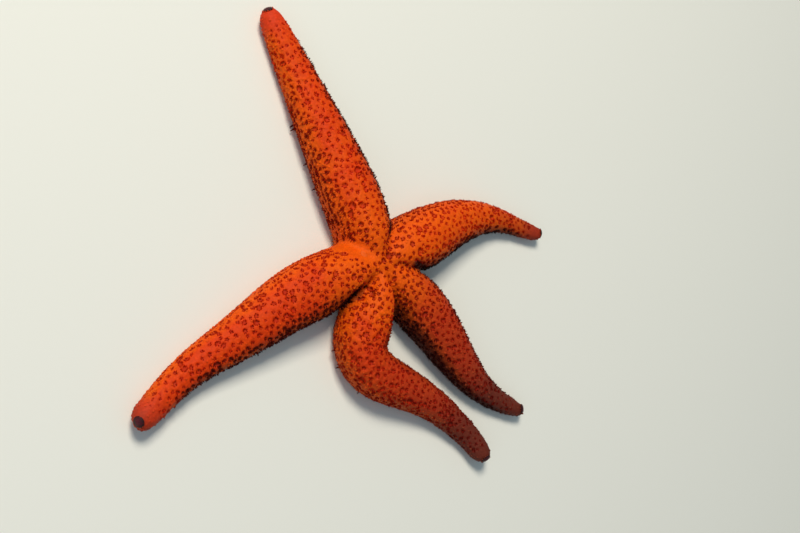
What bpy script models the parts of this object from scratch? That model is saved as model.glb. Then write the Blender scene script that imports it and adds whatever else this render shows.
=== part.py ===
"""A red sea star (Echinaster sepositus) resting on a flat floor, at life size.

Five bent, tapering arms meet in a small disc. The body is drawn as one closed cage of
cross-sections, rounded by subdivision, cut flat where it rests, and then parted with thin
cuts at the places where its parts are named. +Z is up, and the origin lies on the floor
under the middle of the whole star.
"""

import math
from dataclasses import dataclass

import bmesh
import bpy
from mathutils import Matrix, Vector
from mathutils.bvhtree import BVHTree

MM = 0.001  # every size below is a number of millimetres times this

COLLECTION = "red_sea_star"
CUTTER_COLLECTION = "cutters"

# ---------------------------------------------------------------- driving dimensions


@dataclass(frozen=True)
class Bend:
    """One smooth turn of an arm's axis."""

    at: float    # distance along the arm from the middle of the disc to the middle of the turn
    over: float  # length of arm that the turn takes
    turn: float  # degrees, to the left when positive


@dataclass(frozen=True)
class Arm:
    """One arm: where it points, how long it is, how wide it is and how it bends."""

    heading: float  # degrees from +X, where the arm leaves the middle of the disc
    length: float   # along the axis, from the middle of the disc to the tip
    widths: tuple   # full widths at WIDTH_MARKS
    sections: int   # cross-sections between the root and the domed end
    bends: tuple


@dataclass(frozen=True)
class Notch:
    """The inner corner between an arm and the next one."""

    heading: float
    radius: float
    crease: float  # how far the crease runs on from the corner into the disc


WIDTH_MARKS = (0.15, 0.40, 0.65, 0.90)  # shares of the length where the widths are given

# Counter-clockwise seen from above; NOTCHES[k] lies between ARMS[k] and the next arm.
ARMS = (
    Arm(104.5, 97.5 * MM, (23.2 * MM, 19.8 * MM, 15.2 * MM, 10.2 * MM), 7,
        (Bend(20 * MM, 20 * MM, 10), Bend(86 * MM, 14 * MM, 8))),
    Arm(198, 103 * MM, (22.8 * MM, 19.0 * MM, 13.2 * MM, 9.6 * MM), 8,
        (Bend(30 * MM, 24 * MM, 16), Bend(58 * MM, 20 * MM, -5),
         Bend(80 * MM, 24 * MM, 22), Bend(96 * MM, 12 * MM, -26))),
    Arm(277, 105 * MM, (22.3 * MM, 18.2 * MM, 12.8 * MM, 9.2 * MM), 11,
        (Bend(14 * MM, 12 * MM, -50), Bend(31.5 * MM, 30 * MM, 111),
         Bend(72 * MM, 24 * MM, -16), Bend(97 * MM, 16 * MM, -32))),
    Arm(330, 92 * MM, (21.0 * MM, 18.6 * MM, 13.0 * MM, 7.4 * MM), 7,
        (Bend(24 * MM, 20 * MM, -19), Bend(66 * MM, 30 * MM, 24), Bend(88 * MM, 14 * MM, 20))),
    Arm(386, 91 * MM, (22.6 * MM, 19.6 * MM, 12.2 * MM, 6.8 * MM), 7,
        (Bend(45 * MM, 30 * MM, -20), Bend(68 * MM, 16 * MM, -24), Bend(86 * MM, 10 * MM, 13))),
)
NOTCHES = (
    Notch(144, 13.8 * MM, 2.4 * MM),
    Notch(240, 12.8 * MM, 5.5 * MM),
    Notch(300, 18.4 * MM, 8.0 * MM),
    Notch(357, 20.8 * MM, 2.6 * MM),
    Notch(423, 18.8 * MM, 3.0 * MM),
)

HEIGHT_SHARE = 0.80         # height of an arm, as a share of its width
DISC_TOP = 17.2 * MM        # height of the middle of the disc
NOTCH_HEIGHT = 15.5 * MM    # height of the web in the inner corners
TIP_LIFT = 1.6 * MM         # how far the last stretch of an arm curls off the floor
TIP_LIFT_LENGTH = 14 * MM

GROOVE_SHARE = 0.16         # width of the groove under an arm, as a share of the arm's width
GROOVE_DEPTH_SHARE = 0.13   # depth of that groove, as a share of the arm's height
MOUTH_RADIUS = 4.6 * MM
THROAT_RADIUS = 3.4 * MM
THROAT_DEPTH = 3.2 * MM

ROOT_RING = 13 * MM         # first cross-section of an arm, level with the notches
TIP_DOME_TURNS = (0, 44)    # degrees round the domed end of an arm, one for each section

# One side of a cross-section, from the sole up: share of the half width, share of the height.
SIDE_PROFILE = ((0.62, 0.0), (0.95, 0.22), (1.03, 0.50), (0.86, 0.80), (0.46, 0.985))
RIDGE_SHARE = 1.02
CAGE_SWELL = 1.035          # a rounded ring lies this much inside the cage that it comes from

# The same corners in a notch: how far each stands off the notch radius, share of its height.
# The last one, the shoulder, is set back by the notch's own crease.
NOTCH_SIDE = ((-2.0 * MM, 0.0), (0.0, 0.22), (0.3 * MM, 0.50))
NOTCH_SHOULDER_SHARE = 0.84
CREASE_DEPTH_SHARE = 0.28   # depth of a crease half way into the disc, as a share of its length
DISC_RING_SHARE = 0.5       # how far in from the arms' roots the ring on top of the disc lies
CREASE_SHARPNESS = 0.7      # how sharply a crease folds, from 0, round, to 1, a hard edge

CUT = 0.3 * MM              # width of the thin cuts between named parts
FLAT_DEPTH = 0.25 * MM      # how much of the rounded sole is taken off to make the flats
NOTCH_CUT_MARGIN = 5.2 * MM  # the cuts round the disc meet this far outside the notches
LENGTH_CUTS = (0.38, 0.68)  # shares of the length where an arm is parted
EYESPOT_LENGTH = 2.8 * MM
CUTTER_HEIGHT = 60 * MM
CUTTER_MARGIN = 1.6 * MM    # how far a cutter stands out on each side of an arm
FLOOR_CUTTER_SIDE = 400 * MM

MADREPORITE_RADIUS = 1.7 * MM
MADREPORITE_HEIGHT = 1.5 * MM
MADREPORITE_HEADING = 150
MADREPORITE_DISTANCE = 8.2 * MM
MEMBRANE_RADIUS = 2.2 * MM
MEMBRANE_HEIGHT = 1.2 * MM
TURNED_SIDES = 12           # sides of the two round buttons and of their sockets

# Half outline of a button, top to bottom: share of its radius, share of its height.
BUTTON_PROFILE = ((0.0, 0.5), (0.7, 0.42), (1.0, 0.1), (1.0, -0.3), (0.8, -0.5), (0.0, -0.5))

STEP = 0.5 * MM             # step of the sums that turn headings into places
MERGE_DISTANCE = 0.01 * MM

# ---------------------------------------------------------------- finishes (linear RGB)

DISC_ORANGE = (0.855, 0.115, 0.004)
ARM_VERMILION = (0.830, 0.045, 0.006)
TIP_RED = (0.578, 0.042, 0.012)
EYESPOT_MAROON = (0.045, 0.004, 0.007)
MADREPORITE_BUFF = (0.871, 0.210, 0.055)
MEMBRANE_ROSE = (0.462, 0.076, 0.034)
SKIN_ROUGHNESS = 0.42
PLATE_ROUGHNESS = 0.50      # the madreporite is a bare limy plate
MEMBRANE_ROUGHNESS = 0.35


# ---------------------------------------------------------------- the axis of an arm


def smoothstep(x):
    """Ease from 0 to 1 as x goes from 0 to 1."""
    x = min(max(x, 0.0), 1.0)
    return x * x * (3 - 2 * x)


def direction(degrees):
    """Unit vector on the floor at an angle from +X."""
    return Vector((math.cos(math.radians(degrees)), math.sin(math.radians(degrees)), 0.0))


def heading_at(arm, distance):
    """Heading of the arm's axis, in degrees, after all the turns behind this distance."""
    turned = sum(b.turn * smoothstep((distance - b.at) / b.over + 0.5) for b in arm.bends)
    return arm.heading + turned


def axis_point(arm, distance):
    """Place on the floor under the arm's axis, measured from the middle of the disc."""
    point = Vector((0.0, 0.0, 0.0))
    steps = max(1, round(distance / STEP))
    length = distance / steps
    for i in range(steps):
        point += direction(heading_at(arm, (i + 0.5) * length)) * length
    return point


def width_at(arm, distance):
    """Full width of the arm: the curve through the widths at WIDTH_MARKS."""
    share = distance / arm.length
    total = 0.0
    for i, width in enumerate(arm.widths):
        weight = 1.0
        for j, mark in enumerate(WIDTH_MARKS):
            if j != i:
                weight *= (share - mark) / (WIDTH_MARKS[i] - mark)
        total += width * weight
    return total


# ---------------------------------------------------------------- the cage of the body


def section_points(arm, distance, scale):
    """The 14 corners of a cross-section, from the groove up the left side and down the right."""
    half = width_at(arm, distance) / 2 * CAGE_SWELL
    height = width_at(arm, distance) * HEIGHT_SHARE * CAGE_SWELL
    left = [(half * GROOVE_SHARE, 0.0)] + [(half * u, height * v) for u, v in SIDE_PROFILE]
    corners = [(0.0, height * GROOVE_DEPTH_SHARE), *left, (0.0, height * RIDGE_SHARE)]
    corners += [(-u, v) for u, v in reversed(left)]

    middle = height / 2
    lift = TIP_LIFT * smoothstep((distance - arm.length) / TIP_LIFT_LENGTH + 1)
    origin = axis_point(arm, distance)
    sideways = direction(heading_at(arm, distance) + 90)
    points = []
    for u, v in corners:
        up = lift + middle + (v - middle) * scale
        points.append(origin + sideways * (u * scale) + Vector((0.0, 0.0, up)))
    return points


def ring_places(arm):
    """Distance and scale of each cross-section after the root, with those of the domed end."""
    dome = width_at(arm, arm.length * WIDTH_MARKS[-1]) / 2
    last = arm.length - dome
    spacing = (last - ROOT_RING) / arm.sections
    places = [(ROOT_RING + spacing * i, 1.0) for i in range(1, arm.sections)]
    for turn in TIP_DOME_TURNS:
        angle = math.radians(turn)
        places.append((last + dome * math.sin(angle), math.cos(angle)))
    return places


def bridge(cage, ring, following):
    """Join two rings that have as many corners with a band of quads."""
    for i, corner in enumerate(ring):
        j = (i + 1) % len(ring)
        cage.faces.new((corner, ring[j], following[j], following[i]))


def close_with_pole(cage, ring, place):
    """Close an even ring with quads that meet in one corner."""
    pole = cage.verts.new(place)
    count = len(ring)
    for i in range(0, count, 2):
        cage.faces.new((ring[i], ring[(i + 1) % count], ring[(i + 2) % count], pole))


def sharpen(cage, corners):
    """Fold the body more sharply along a row of corners."""
    sharpness = cage.edges.layers.float["crease_edge"]
    for corner, following in zip(corners, corners[1:]):
        cage.edges.get((corner, following))[sharpness] = CREASE_SHARPNESS


def add_notch_column(cage, notch):
    """The four corners, sole to shoulder, that two neighbouring arms share."""
    outwards = direction(notch.heading)
    profile = (*NOTCH_SIDE, (-notch.crease, NOTCH_SHOULDER_SHARE))
    return [cage.verts.new(outwards * (notch.radius + offset) + Vector((0.0, 0.0, NOTCH_HEIGHT * share)))
            for offset, share in profile]


def add_arm(cage, arm, right_column, left_column):
    """Add one arm to the cage and give back its root ring."""
    points = section_points(arm, ROOT_RING, 1.0)
    roof, left_lip, left_crown, ridge, right_crown, right_lip = (
        cage.verts.new(points[i]) for i in (0, 1, 6, 7, 8, 13))
    root = [roof, left_lip, *left_column, left_crown, ridge, right_crown,
            *reversed(right_column), right_lip]
    ring = root
    for distance, scale in ring_places(arm):
        following = [cage.verts.new(p) for p in section_points(arm, distance, scale)]
        bridge(cage, ring, following)
        ring = following
    close_with_pole(cage, ring, section_points(arm, arm.length, 0.0)[0])
    return root


def add_disc_top(cage, roots):
    """Close the upper side between the arms: one ring, creased under the notches, and a pole."""
    rim = [corner for root in roots for corner in (root[9], root[8], root[7], root[6])]
    middle = Vector((0.0, 0.0, DISC_TOP))
    inner = [cage.verts.new(corner.co.lerp(middle, DISC_RING_SHARE)) for corner in rim]
    for k in range(len(roots)):
        inner[4 * k].co.z -= NOTCHES[k - 1].crease * CREASE_DEPTH_SHARE
    bridge(cage, rim, inner)
    close_with_pole(cage, inner, middle)
    for k in range(len(roots)):
        sharpen(cage, (rim[4 * k], inner[4 * k]))


def add_disc_underside(cage, roots):
    """Close the lower side: the five grooves run into the mouth, which has a short throat."""
    rim, mouth = [], []
    for root, arm in zip(roots, ARMS):
        inwards = -axis_point(arm, ROOT_RING).normalized() * (ROOT_RING - MOUTH_RADIUS)
        jaw, right_lip, roof, left_lip = root[12], root[13], root[0], root[1]
        rim += [jaw, right_lip, roof, left_lip]
        mouth.append(jaw.co * (MOUTH_RADIUS / jaw.co.length))
        mouth += [corner.co + inwards for corner in (right_lip, roof, left_lip)]
    mouth = [cage.verts.new(place) for place in mouth]
    throat = []
    for corner in mouth:
        place = corner.co.copy()
        place.z = 0.0
        place = place.normalized() * THROAT_RADIUS
        place.z = THROAT_DEPTH
        throat.append(cage.verts.new(place))
    bridge(cage, rim, mouth)
    bridge(cage, mouth, throat)
    close_with_pole(cage, throat, Vector((0.0, 0.0, THROAT_DEPTH)))


def build_body():
    """The whole star in one closed, rounded body, its soles still round."""
    cage = bmesh.new()
    cage.edges.layers.float.new("crease_edge")
    columns = [add_notch_column(cage, notch) for notch in NOTCHES]
    roots = [add_arm(cage, arm, columns[k - 1], columns[k]) for k, arm in enumerate(ARMS)]
    add_disc_top(cage, roots)
    add_disc_underside(cage, roots)
    for column in columns:
        sharpen(cage, column)
    bmesh.ops.recalc_face_normals(cage, faces=cage.faces)
    mesh = bpy.data.meshes.new("body")
    cage.to_mesh(mesh)
    cage.free()
    body = bpy.data.objects.new("body", mesh)
    bpy.context.scene.collection.objects.link(body)
    rounding = body.modifiers.new("rounding", "SUBSURF")
    rounding.levels = 1
    rounding.render_levels = 1
    return body


# ---------------------------------------------------------------- cutters


def add_cutter(collection, name, shape):
    """Make a cutter of a bmesh, shown as wires and never rendered."""
    mesh = bpy.data.meshes.new(name)
    shape.to_mesh(mesh)
    shape.free()
    cutter = bpy.data.objects.new(name, mesh)
    cutter.hide_render = True
    cutter.display_type = "WIRE"
    collection.objects.link(cutter)


def add_slab(collection, name, centre, heading, size):
    """A box whose first side points along the heading."""
    shape = bmesh.new()
    place = (Matrix.Translation(centre) @ Matrix.Rotation(math.radians(heading), 4, "Z")
             @ Matrix.Diagonal((*size, 1.0)))
    bmesh.ops.create_cube(shape, size=1.0, matrix=place)
    add_cutter(collection, name, shape)


def add_drill(collection, name, place, radius, depth):
    """A round drill that goes in along the place's -Z and stands out as far above it."""
    shape = bmesh.new()
    bmesh.ops.create_cone(shape, cap_ends=True, segments=TURNED_SIDES, radius1=radius, radius2=radius,
                          depth=2 * depth, matrix=place)
    add_cutter(collection, name, shape)


def add_floor_cutter(collection):
    """A block whose top takes the rounded soles down to flats at one level."""
    centre = Vector((0.0, 0.0, FLAT_DEPTH - CUTTER_HEIGHT / 2))
    size = (FLOOR_CUTTER_SIDE, FLOOR_CUTTER_SIDE, CUTTER_HEIGHT)
    add_slab(collection, "cut_floor", centre, 0.0, size)


def add_disc_cutters(collection):
    """Five slabs that meet outside the notches and part the arms from the disc."""
    corners = [direction(n.heading) * (n.radius + NOTCH_CUT_MARGIN) for n in NOTCHES]
    for k, corner in enumerate(corners):
        chord = corner - corners[k - 1]
        heading = math.degrees(math.atan2(chord.y, chord.x)) - 90
        size = (CUT, chord.length + CUT, CUTTER_HEIGHT)
        add_slab(collection, f"cut_disc_{k + 1}", (corner + corners[k - 1]) / 2, heading, size)


def add_arm_cutters(collection):
    """Slabs square to the arms, between their lengths and behind their eyespots."""
    for k, arm in enumerate(ARMS):
        distances = [arm.length * share for share in LENGTH_CUTS] + [arm.length - EYESPOT_LENGTH]
        for i, distance in enumerate(distances):
            size = (CUT, width_at(arm, distance) + 2 * CUTTER_MARGIN, CUTTER_HEIGHT)
            add_slab(collection, f"cut_arm_{k + 1}_{i + 1}", axis_point(arm, distance),
                     heading_at(arm, distance), size)


def place_on_surface(body, x, y, upwards):
    """A frame on the body's surface above or below a point, its +Z along the outward normal."""
    tree = BVHTree.FromObject(body, bpy.context.evaluated_depsgraph_get())
    start = Vector((x, y, CUTTER_HEIGHT if upwards else -CUTTER_HEIGHT))
    hit, normal, _, _ = tree.ray_cast(start, Vector((0.0, 0.0, -1.0 if upwards else 1.0)))
    return Matrix.Translation(hit) @ normal.to_track_quat("Z", "Y").to_matrix().to_4x4()


# ---------------------------------------------------------------- the named parts


def new_material(name, colour, roughness):
    """A plain material of one linear colour."""
    material = bpy.data.materials.new(name)
    material.use_nodes = True
    shader = material.node_tree.nodes["Principled BSDF"]
    shader.inputs["Base Color"].default_value = (*colour, 1.0)
    shader.inputs["Roughness"].default_value = roughness
    shader.inputs["Metallic"].default_value = 0.0
    return material


def turned_button(collection, name, place, radius, height):
    """A lens-shaped button, turned about the place's Z, set half way into its socket."""
    profile = bmesh.new()
    verts = [profile.verts.new((radius * x, 0.0, height * z)) for x, z in BUTTON_PROFILE]
    for upper, lower in zip(verts, verts[1:]):
        profile.edges.new((upper, lower))
    mesh = bpy.data.meshes.new(name)
    profile.to_mesh(mesh)
    profile.free()
    button = bpy.data.objects.new(name, mesh)
    button.matrix_world = place
    turning = button.modifiers.new("turning", "SCREW")
    turning.steps = TURNED_SIDES
    turning.render_steps = TURNED_SIDES
    turning.use_merge_vertices = True
    turning.merge_threshold = MERGE_DISTANCE
    collection.objects.link(button)
    return button


def part_body(body, cutters):
    """Cut the body with all the cutters at once and give back its loose pieces as objects."""
    cut = body.modifiers.new("parting", "BOOLEAN")
    cut.operation = "DIFFERENCE"
    cut.solver = "EXACT"
    cut.operand_type = "COLLECTION"
    cut.collection = cutters
    evaluated = body.evaluated_get(bpy.context.evaluated_depsgraph_get())
    mesh = bpy.data.meshes.new_from_object(evaluated)
    whole = bpy.data.objects.new("whole", mesh)
    bpy.context.scene.collection.objects.link(whole)
    bpy.data.objects.remove(body)
    bpy.ops.object.select_all(action="DESELECT")
    bpy.context.view_layer.objects.active = whole
    whole.select_set(True)
    bpy.ops.object.mode_set(mode="EDIT")
    bpy.ops.mesh.separate(type="LOOSE")
    bpy.ops.object.mode_set(mode="OBJECT")
    return list(bpy.context.selected_objects)


def name_places():
    """Name, place on the floor and colour of every part that the cuts make."""
    places = [("disc", Vector((0.0, 0.0, 0.0)), DISC_ORANGE)]
    colours = (ARM_VERMILION, ARM_VERMILION, TIP_RED, EYESPOT_MAROON)
    for k, arm in enumerate(ARMS):
        names = (f"arm_{k + 1}_base", f"arm_{k + 1}_middle", f"arm_{k + 1}_tip", f"eyespot_{k + 1}")
        cuts = [arm.length * share for share in LENGTH_CUTS]
        edges = [ROOT_RING, *cuts, arm.length - EYESPOT_LENGTH, arm.length]
        for name, start, end, colour in zip(names, edges, edges[1:], colours):
            places.append((name, axis_point(arm, (start + end) / 2), colour))
    return places


def name_part(part, places):
    """Name a loose piece after the nearest named place and give it its colour."""
    corners = [v.co for v in part.data.vertices]
    centre = sum(corners, Vector()) / len(corners)
    centre.z = 0.0
    name, _, colour = min(places, key=lambda place: (place[1] - centre).length)
    part.name = name
    part.data.name = name
    part.data.materials.clear()
    part.data.materials.append(new_material(name, colour, SKIN_ROUGHNESS))


def main():
    """Build the star and leave its named parts in one collection and its cutters in another."""
    for leftover in list(bpy.data.objects):
        bpy.data.objects.remove(leftover)
    parts = bpy.data.collections.new(COLLECTION)
    cutters = bpy.data.collections.new(CUTTER_COLLECTION)
    bpy.context.scene.collection.children.link(parts)
    bpy.context.scene.collection.children.link(cutters)

    body = build_body()
    bpy.context.view_layer.update()
    spot = direction(MADREPORITE_HEADING) * MADREPORITE_DISTANCE
    on_disc = place_on_surface(body, spot.x, spot.y, True)
    in_mouth = place_on_surface(body, 0.0, 0.0, False)

    outline = [v.co for v in body.data.vertices]
    middle_x = (max(v.x for v in outline) + min(v.x for v in outline)) / 2
    middle_y = (max(v.y for v in outline) + min(v.y for v in outline)) / 2
    settle = Matrix.Translation((-middle_x, -middle_y, -FLAT_DEPTH))

    add_floor_cutter(cutters)
    add_disc_cutters(cutters)
    add_arm_cutters(cutters)
    add_drill(cutters, "socket_madreporite", on_disc, MADREPORITE_RADIUS + CUT,
              MADREPORITE_HEIGHT / 2 + CUT)
    add_drill(cutters, "socket_mouth", in_mouth, MEMBRANE_RADIUS + CUT, MEMBRANE_HEIGHT / 2 + CUT)
    places = name_places()
    for part in part_body(body, cutters):
        name_part(part, places)
        part.data.transform(settle)
        bpy.context.scene.collection.objects.unlink(part)
        parts.objects.link(part)

    madreporite = turned_button(parts, "madreporite", settle @ on_disc, MADREPORITE_RADIUS,
                                MADREPORITE_HEIGHT)
    madreporite.data.materials.append(new_material("madreporite", MADREPORITE_BUFF, PLATE_ROUGHNESS))
    mouth = turned_button(parts, "mouth", settle @ in_mouth, MEMBRANE_RADIUS, MEMBRANE_HEIGHT)
    mouth.data.materials.append(new_material("mouth", MEMBRANE_ROSE, MEMBRANE_ROUGHNESS))


main()
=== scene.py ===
"""The looks of a life-size red sea star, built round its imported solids.

One soft skin covers the disc and the five arms. It is folded into a low net whose sunken
pits hold the dark gill fingers (papulae), and small blunt spines stand on the net. Eyespots
end the arms, a limy sieve plate lies on the disc, and tube feet line the grooves below.
"""

import logging
import math
from collections.abc import Callable, Iterable, Mapping, Sequence
from dataclasses import dataclass, replace
from enum import Enum
from functools import partial

import bmesh
import bpy
import numpy as np
from mathutils import Matrix, Vector
from mathutils.bvhtree import BVHTree


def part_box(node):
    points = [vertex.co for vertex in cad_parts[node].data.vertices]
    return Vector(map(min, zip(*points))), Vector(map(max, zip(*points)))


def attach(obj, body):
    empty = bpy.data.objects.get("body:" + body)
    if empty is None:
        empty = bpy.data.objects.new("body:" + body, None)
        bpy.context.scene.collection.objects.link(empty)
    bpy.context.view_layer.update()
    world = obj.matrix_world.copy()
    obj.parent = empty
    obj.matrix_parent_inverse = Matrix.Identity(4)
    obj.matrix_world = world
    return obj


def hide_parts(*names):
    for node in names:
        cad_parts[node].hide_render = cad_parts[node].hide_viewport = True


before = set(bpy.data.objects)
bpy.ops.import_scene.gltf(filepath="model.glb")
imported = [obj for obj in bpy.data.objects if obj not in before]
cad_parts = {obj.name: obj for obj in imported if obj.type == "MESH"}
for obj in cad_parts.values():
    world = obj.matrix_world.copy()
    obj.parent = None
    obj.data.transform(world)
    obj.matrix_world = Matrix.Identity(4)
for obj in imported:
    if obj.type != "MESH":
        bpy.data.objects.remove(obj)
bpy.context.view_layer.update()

LOG = logging.getLogger("sea_star")
MM = 0.001
BODY = "root"
BAKE_MAP = "OFBake"

Colour = tuple[float, float, float, float]
PerArm = tuple[float, ...]                  # one value for each arm
Span = tuple[float, float]
PerFlank = tuple[Span, ...]                 # for each arm, its left and its right flank
Array = np.ndarray
Tree = bpy.types.NodeTree
Node = bpy.types.Node
Socket = bpy.types.NodeSocket
Mesh = bpy.types.Mesh
Piece = bpy.types.Object
Finish = bpy.types.Material
Relief = Callable[[float, float], float]    # a value at each radius and angle of a round cap


# ------ small helpers


def mm(*lengths: float) -> tuple[float, ...]:
    """Lengths given in millimetres, in metres."""
    return tuple(length * MM for length in lengths)


def linear_colour(code: str) -> Colour:
    """Turn an sRGB hex colour into linear RGBA.

    Args:
        code: six hex digits, such as "EE5F05".

    Returns:
        The linear red, green and blue values, and an alpha of 1.
    """
    values = [int(code[i:i + 2], 16) / 255 for i in (0, 2, 4)]
    red, green, blue = (v / 12.92 if v <= 0.04045 else ((v + 0.055) / 1.055) ** 2.4 for v in values)
    return (red, green, blue, 1.0)


def smoothstep(low: float, high: float, x: Array) -> Array:
    """Ease from 0 at low to 1 at high, or the other way when low is the larger."""
    t = np.clip((x - low) / (high - low), 0.0, 1.0)
    return t * t * (3 - 2 * t)


def add_node(tree: Tree, kind: str, inputs: Mapping = {}, **settings) -> Node:
    """Add a node with its settings, and set or link its inputs.

    Args:
        tree: the shader or geometry tree that the node joins.
        kind: the node's type name.
        inputs: socket name or number, and a value, a socket, or a node that gives its first output.
        **settings: the node's own properties.

    Returns:
        The new node.
    """
    node = tree.nodes.new(kind)
    for name, value in settings.items():
        setattr(node, name, value)
    for key, value in inputs.items():
        source = value.outputs[0] if isinstance(value, Node) else value
        if isinstance(source, Socket):
            tree.links.new(source, node.inputs[key])
        else:
            node.inputs[key].default_value = source
    return node


def new_piece(name: str, mesh: Mesh) -> Piece:
    """Put a mesh in the scene as an object at the origin."""
    piece = bpy.data.objects.new(name, mesh)
    bpy.context.scene.collection.objects.link(piece)
    return piece


def read_all(items: Sequence, name: str, width: int = 1, kind: type = np.float32) -> Array:
    """Read one property of all the items of a mesh.

    Args:
        items: the items, such as vertices or an attribute's data.
        name: the property's name.
        width: how many numbers it has for each item.
        kind: the type of those numbers.

    Returns:
        The numbers, n by width, or just n of them where the width is 1.
    """
    values = np.zeros(len(items) * width, kind)
    items.foreach_get(name, values)
    return values if width == 1 else values.reshape(-1, width)


def read_attribute(mesh: Mesh, name: str) -> Array:
    """Read a float attribute of a mesh's points."""
    return read_all(mesh.attributes[name].data, "value")


def write_attribute(mesh: Mesh, name: str, values: Array) -> None:
    """Store one number, or one vector, for each point of a mesh.

    Args:
        mesh: the mesh that carries the attribute.
        name: the attribute's name.
        values: an array of n numbers or of n by 3.
    """
    is_vector = values.ndim == 2
    attribute = mesh.attributes.new(name, "FLOAT_VECTOR" if is_vector else "FLOAT", "POINT")
    attribute.data.foreach_set("vector" if is_vector else "value", values.astype(np.float32).ravel())


def mesh_points(mesh: Mesh) -> Array:
    """All the vertices of a mesh, n by 3."""
    return read_all(mesh.vertices, "co", 3).astype(float)


def mesh_normals(mesh: Mesh) -> Array:
    """The vertex normals of a mesh, n by 3."""
    return read_all(mesh.vertex_normals, "vector", 3).astype(float)


def count_triangles(mesh: Mesh) -> int:
    """How many triangles a mesh's faces make."""
    return sum(len(face.vertices) - 2 for face in mesh.polygons)


def drop_attributes(mesh: Mesh, names: Iterable[str]) -> None:
    """Take those of the named attributes that a mesh has off it."""
    for name in names:
        if name in mesh.attributes:
            mesh.attributes.remove(mesh.attributes[name])


def smooth_faces(mesh: Mesh) -> None:
    """Shade all the faces of a mesh smoothly."""
    mesh.polygons.foreach_set("use_smooth", np.ones(len(mesh.polygons), bool))
    mesh.update()


def move_points(mesh: Mesh, points: Array) -> None:
    """Give a mesh new places for its vertices."""
    mesh.vertices.foreach_set("co", points.astype(np.float32).ravel())
    mesh.update()


def apply_modifiers(piece: Piece) -> None:
    """Replace a piece's mesh by its evaluated one and take its modifiers off."""
    evaluated = piece.evaluated_get(bpy.context.evaluated_depsgraph_get())
    old = piece.data
    mesh = bpy.data.meshes.new_from_object(evaluated)
    piece.modifiers.clear()
    piece.data = mesh
    mesh.name = piece.name
    bpy.data.meshes.remove(old)


def add_tree(piece: Piece, tree: Tree, values: Mapping[str, object]) -> None:
    """Give a piece a Geometry Nodes modifier, its inputs set by socket identifier.

    Args:
        piece: the object that takes the modifier.
        tree: the geometry tree.
        values: input name and value; inputs left out keep the tree's own defaults.
    """
    modifier = piece.modifiers.new(tree.name, "NODES")
    modifier.node_group = tree
    for item in tree.interface.items_tree:
        if item.in_out == "INPUT" and item.name in values:
            modifier[item.identifier] = values[item.name]
    piece.update_tag()


# ------ the star's plan


@dataclass(frozen=True)
class Bend:
    """One smooth turn of an arm's axis."""

    at: float
    over: float
    turn: float


@dataclass(frozen=True)
class Arm:
    """An arm's axis, from the middle of the disc, and its full widths at WIDTH_MARKS."""

    heading: float
    length: float
    widths: tuple[float, ...]
    bends: tuple[Bend, ...]

    def headings(self, distances: Array) -> Array:
        """Heading of the axis in radians at each distance."""
        turned = np.full(len(distances), float(self.heading))
        for bend in self.bends:
            turned += bend.turn * smoothstep(-0.5, 0.5, (distances - bend.at) / bend.over)
        return np.radians(turned)

    def width(self, distances: Array) -> Array:
        """Full width of the arm at each distance: the curve through its widths."""
        share = np.clip(distances / self.length, WIDTH_MARKS[0], 1.0)
        total = np.zeros(len(share))
        for i, width in enumerate(self.widths):
            weight = np.ones(len(share))
            for j, mark in enumerate(WIDTH_MARKS):
                if j != i:
                    weight *= (share - mark) / (WIDTH_MARKS[i] - mark)
            total += width * weight
        return total


WIDTH_MARKS = (0.15, 0.40, 0.65, 0.90)
HEIGHT_SHARE = 0.80

# Counter-clockwise seen from above, as the solids are numbered.
ARMS = (
    Arm(104.5, 97.5 * MM, mm(23.2, 19.8, 15.2, 10.2),
        (Bend(20 * MM, 20 * MM, 10), Bend(86 * MM, 14 * MM, 8))),
    Arm(198, 103 * MM, mm(22.8, 19.0, 13.2, 9.6),
        (Bend(30 * MM, 24 * MM, 16), Bend(58 * MM, 20 * MM, -5),
         Bend(80 * MM, 24 * MM, 22), Bend(96 * MM, 12 * MM, -26))),
    Arm(277, 105 * MM, mm(22.3, 18.2, 12.8, 9.2),
        (Bend(14 * MM, 12 * MM, -50), Bend(31.5 * MM, 30 * MM, 111),
         Bend(72 * MM, 24 * MM, -16), Bend(97 * MM, 16 * MM, -32))),
    Arm(330, 92 * MM, mm(21.0, 18.6, 13.0, 7.4),
        (Bend(24 * MM, 20 * MM, -19), Bend(66 * MM, 30 * MM, 24), Bend(88 * MM, 14 * MM, 20))),
    Arm(386, 91 * MM, mm(22.6, 19.6, 12.2, 6.8),
        (Bend(45 * MM, 30 * MM, -20), Bend(68 * MM, 16 * MM, -24), Bend(86 * MM, 10 * MM, 13))),
)


@dataclass(frozen=True)
class Crease:
    """A fold between two arms, sunk and darkened with painted shade: it runs over the disc from its outer end
    to its inner one.
    """

    outer_heading: float
    outer_radius: float
    inner_heading: float
    inner_radius: float
    half_width: float
    depth: float
    darkness: float


# The last column is the strength of the painted shade along each crease.
CREASES = (
    Crease(226, 25.2 * MM, 222, 9.5 * MM, 2.0 * MM, 1.3 * MM, 1.0),
    Crease(300, 24.5 * MM, 291, 9.4 * MM, 1.5 * MM, 1.2 * MM, 1.0),
    Crease(358, 23.0 * MM, 6, 12.3 * MM, 1.8 * MM, 0.9 * MM, 0.9),
    Crease(62, 22.0 * MM, 75, 9.5 * MM, 1.3 * MM, 0.9 * MM, 0.85),
)


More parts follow.
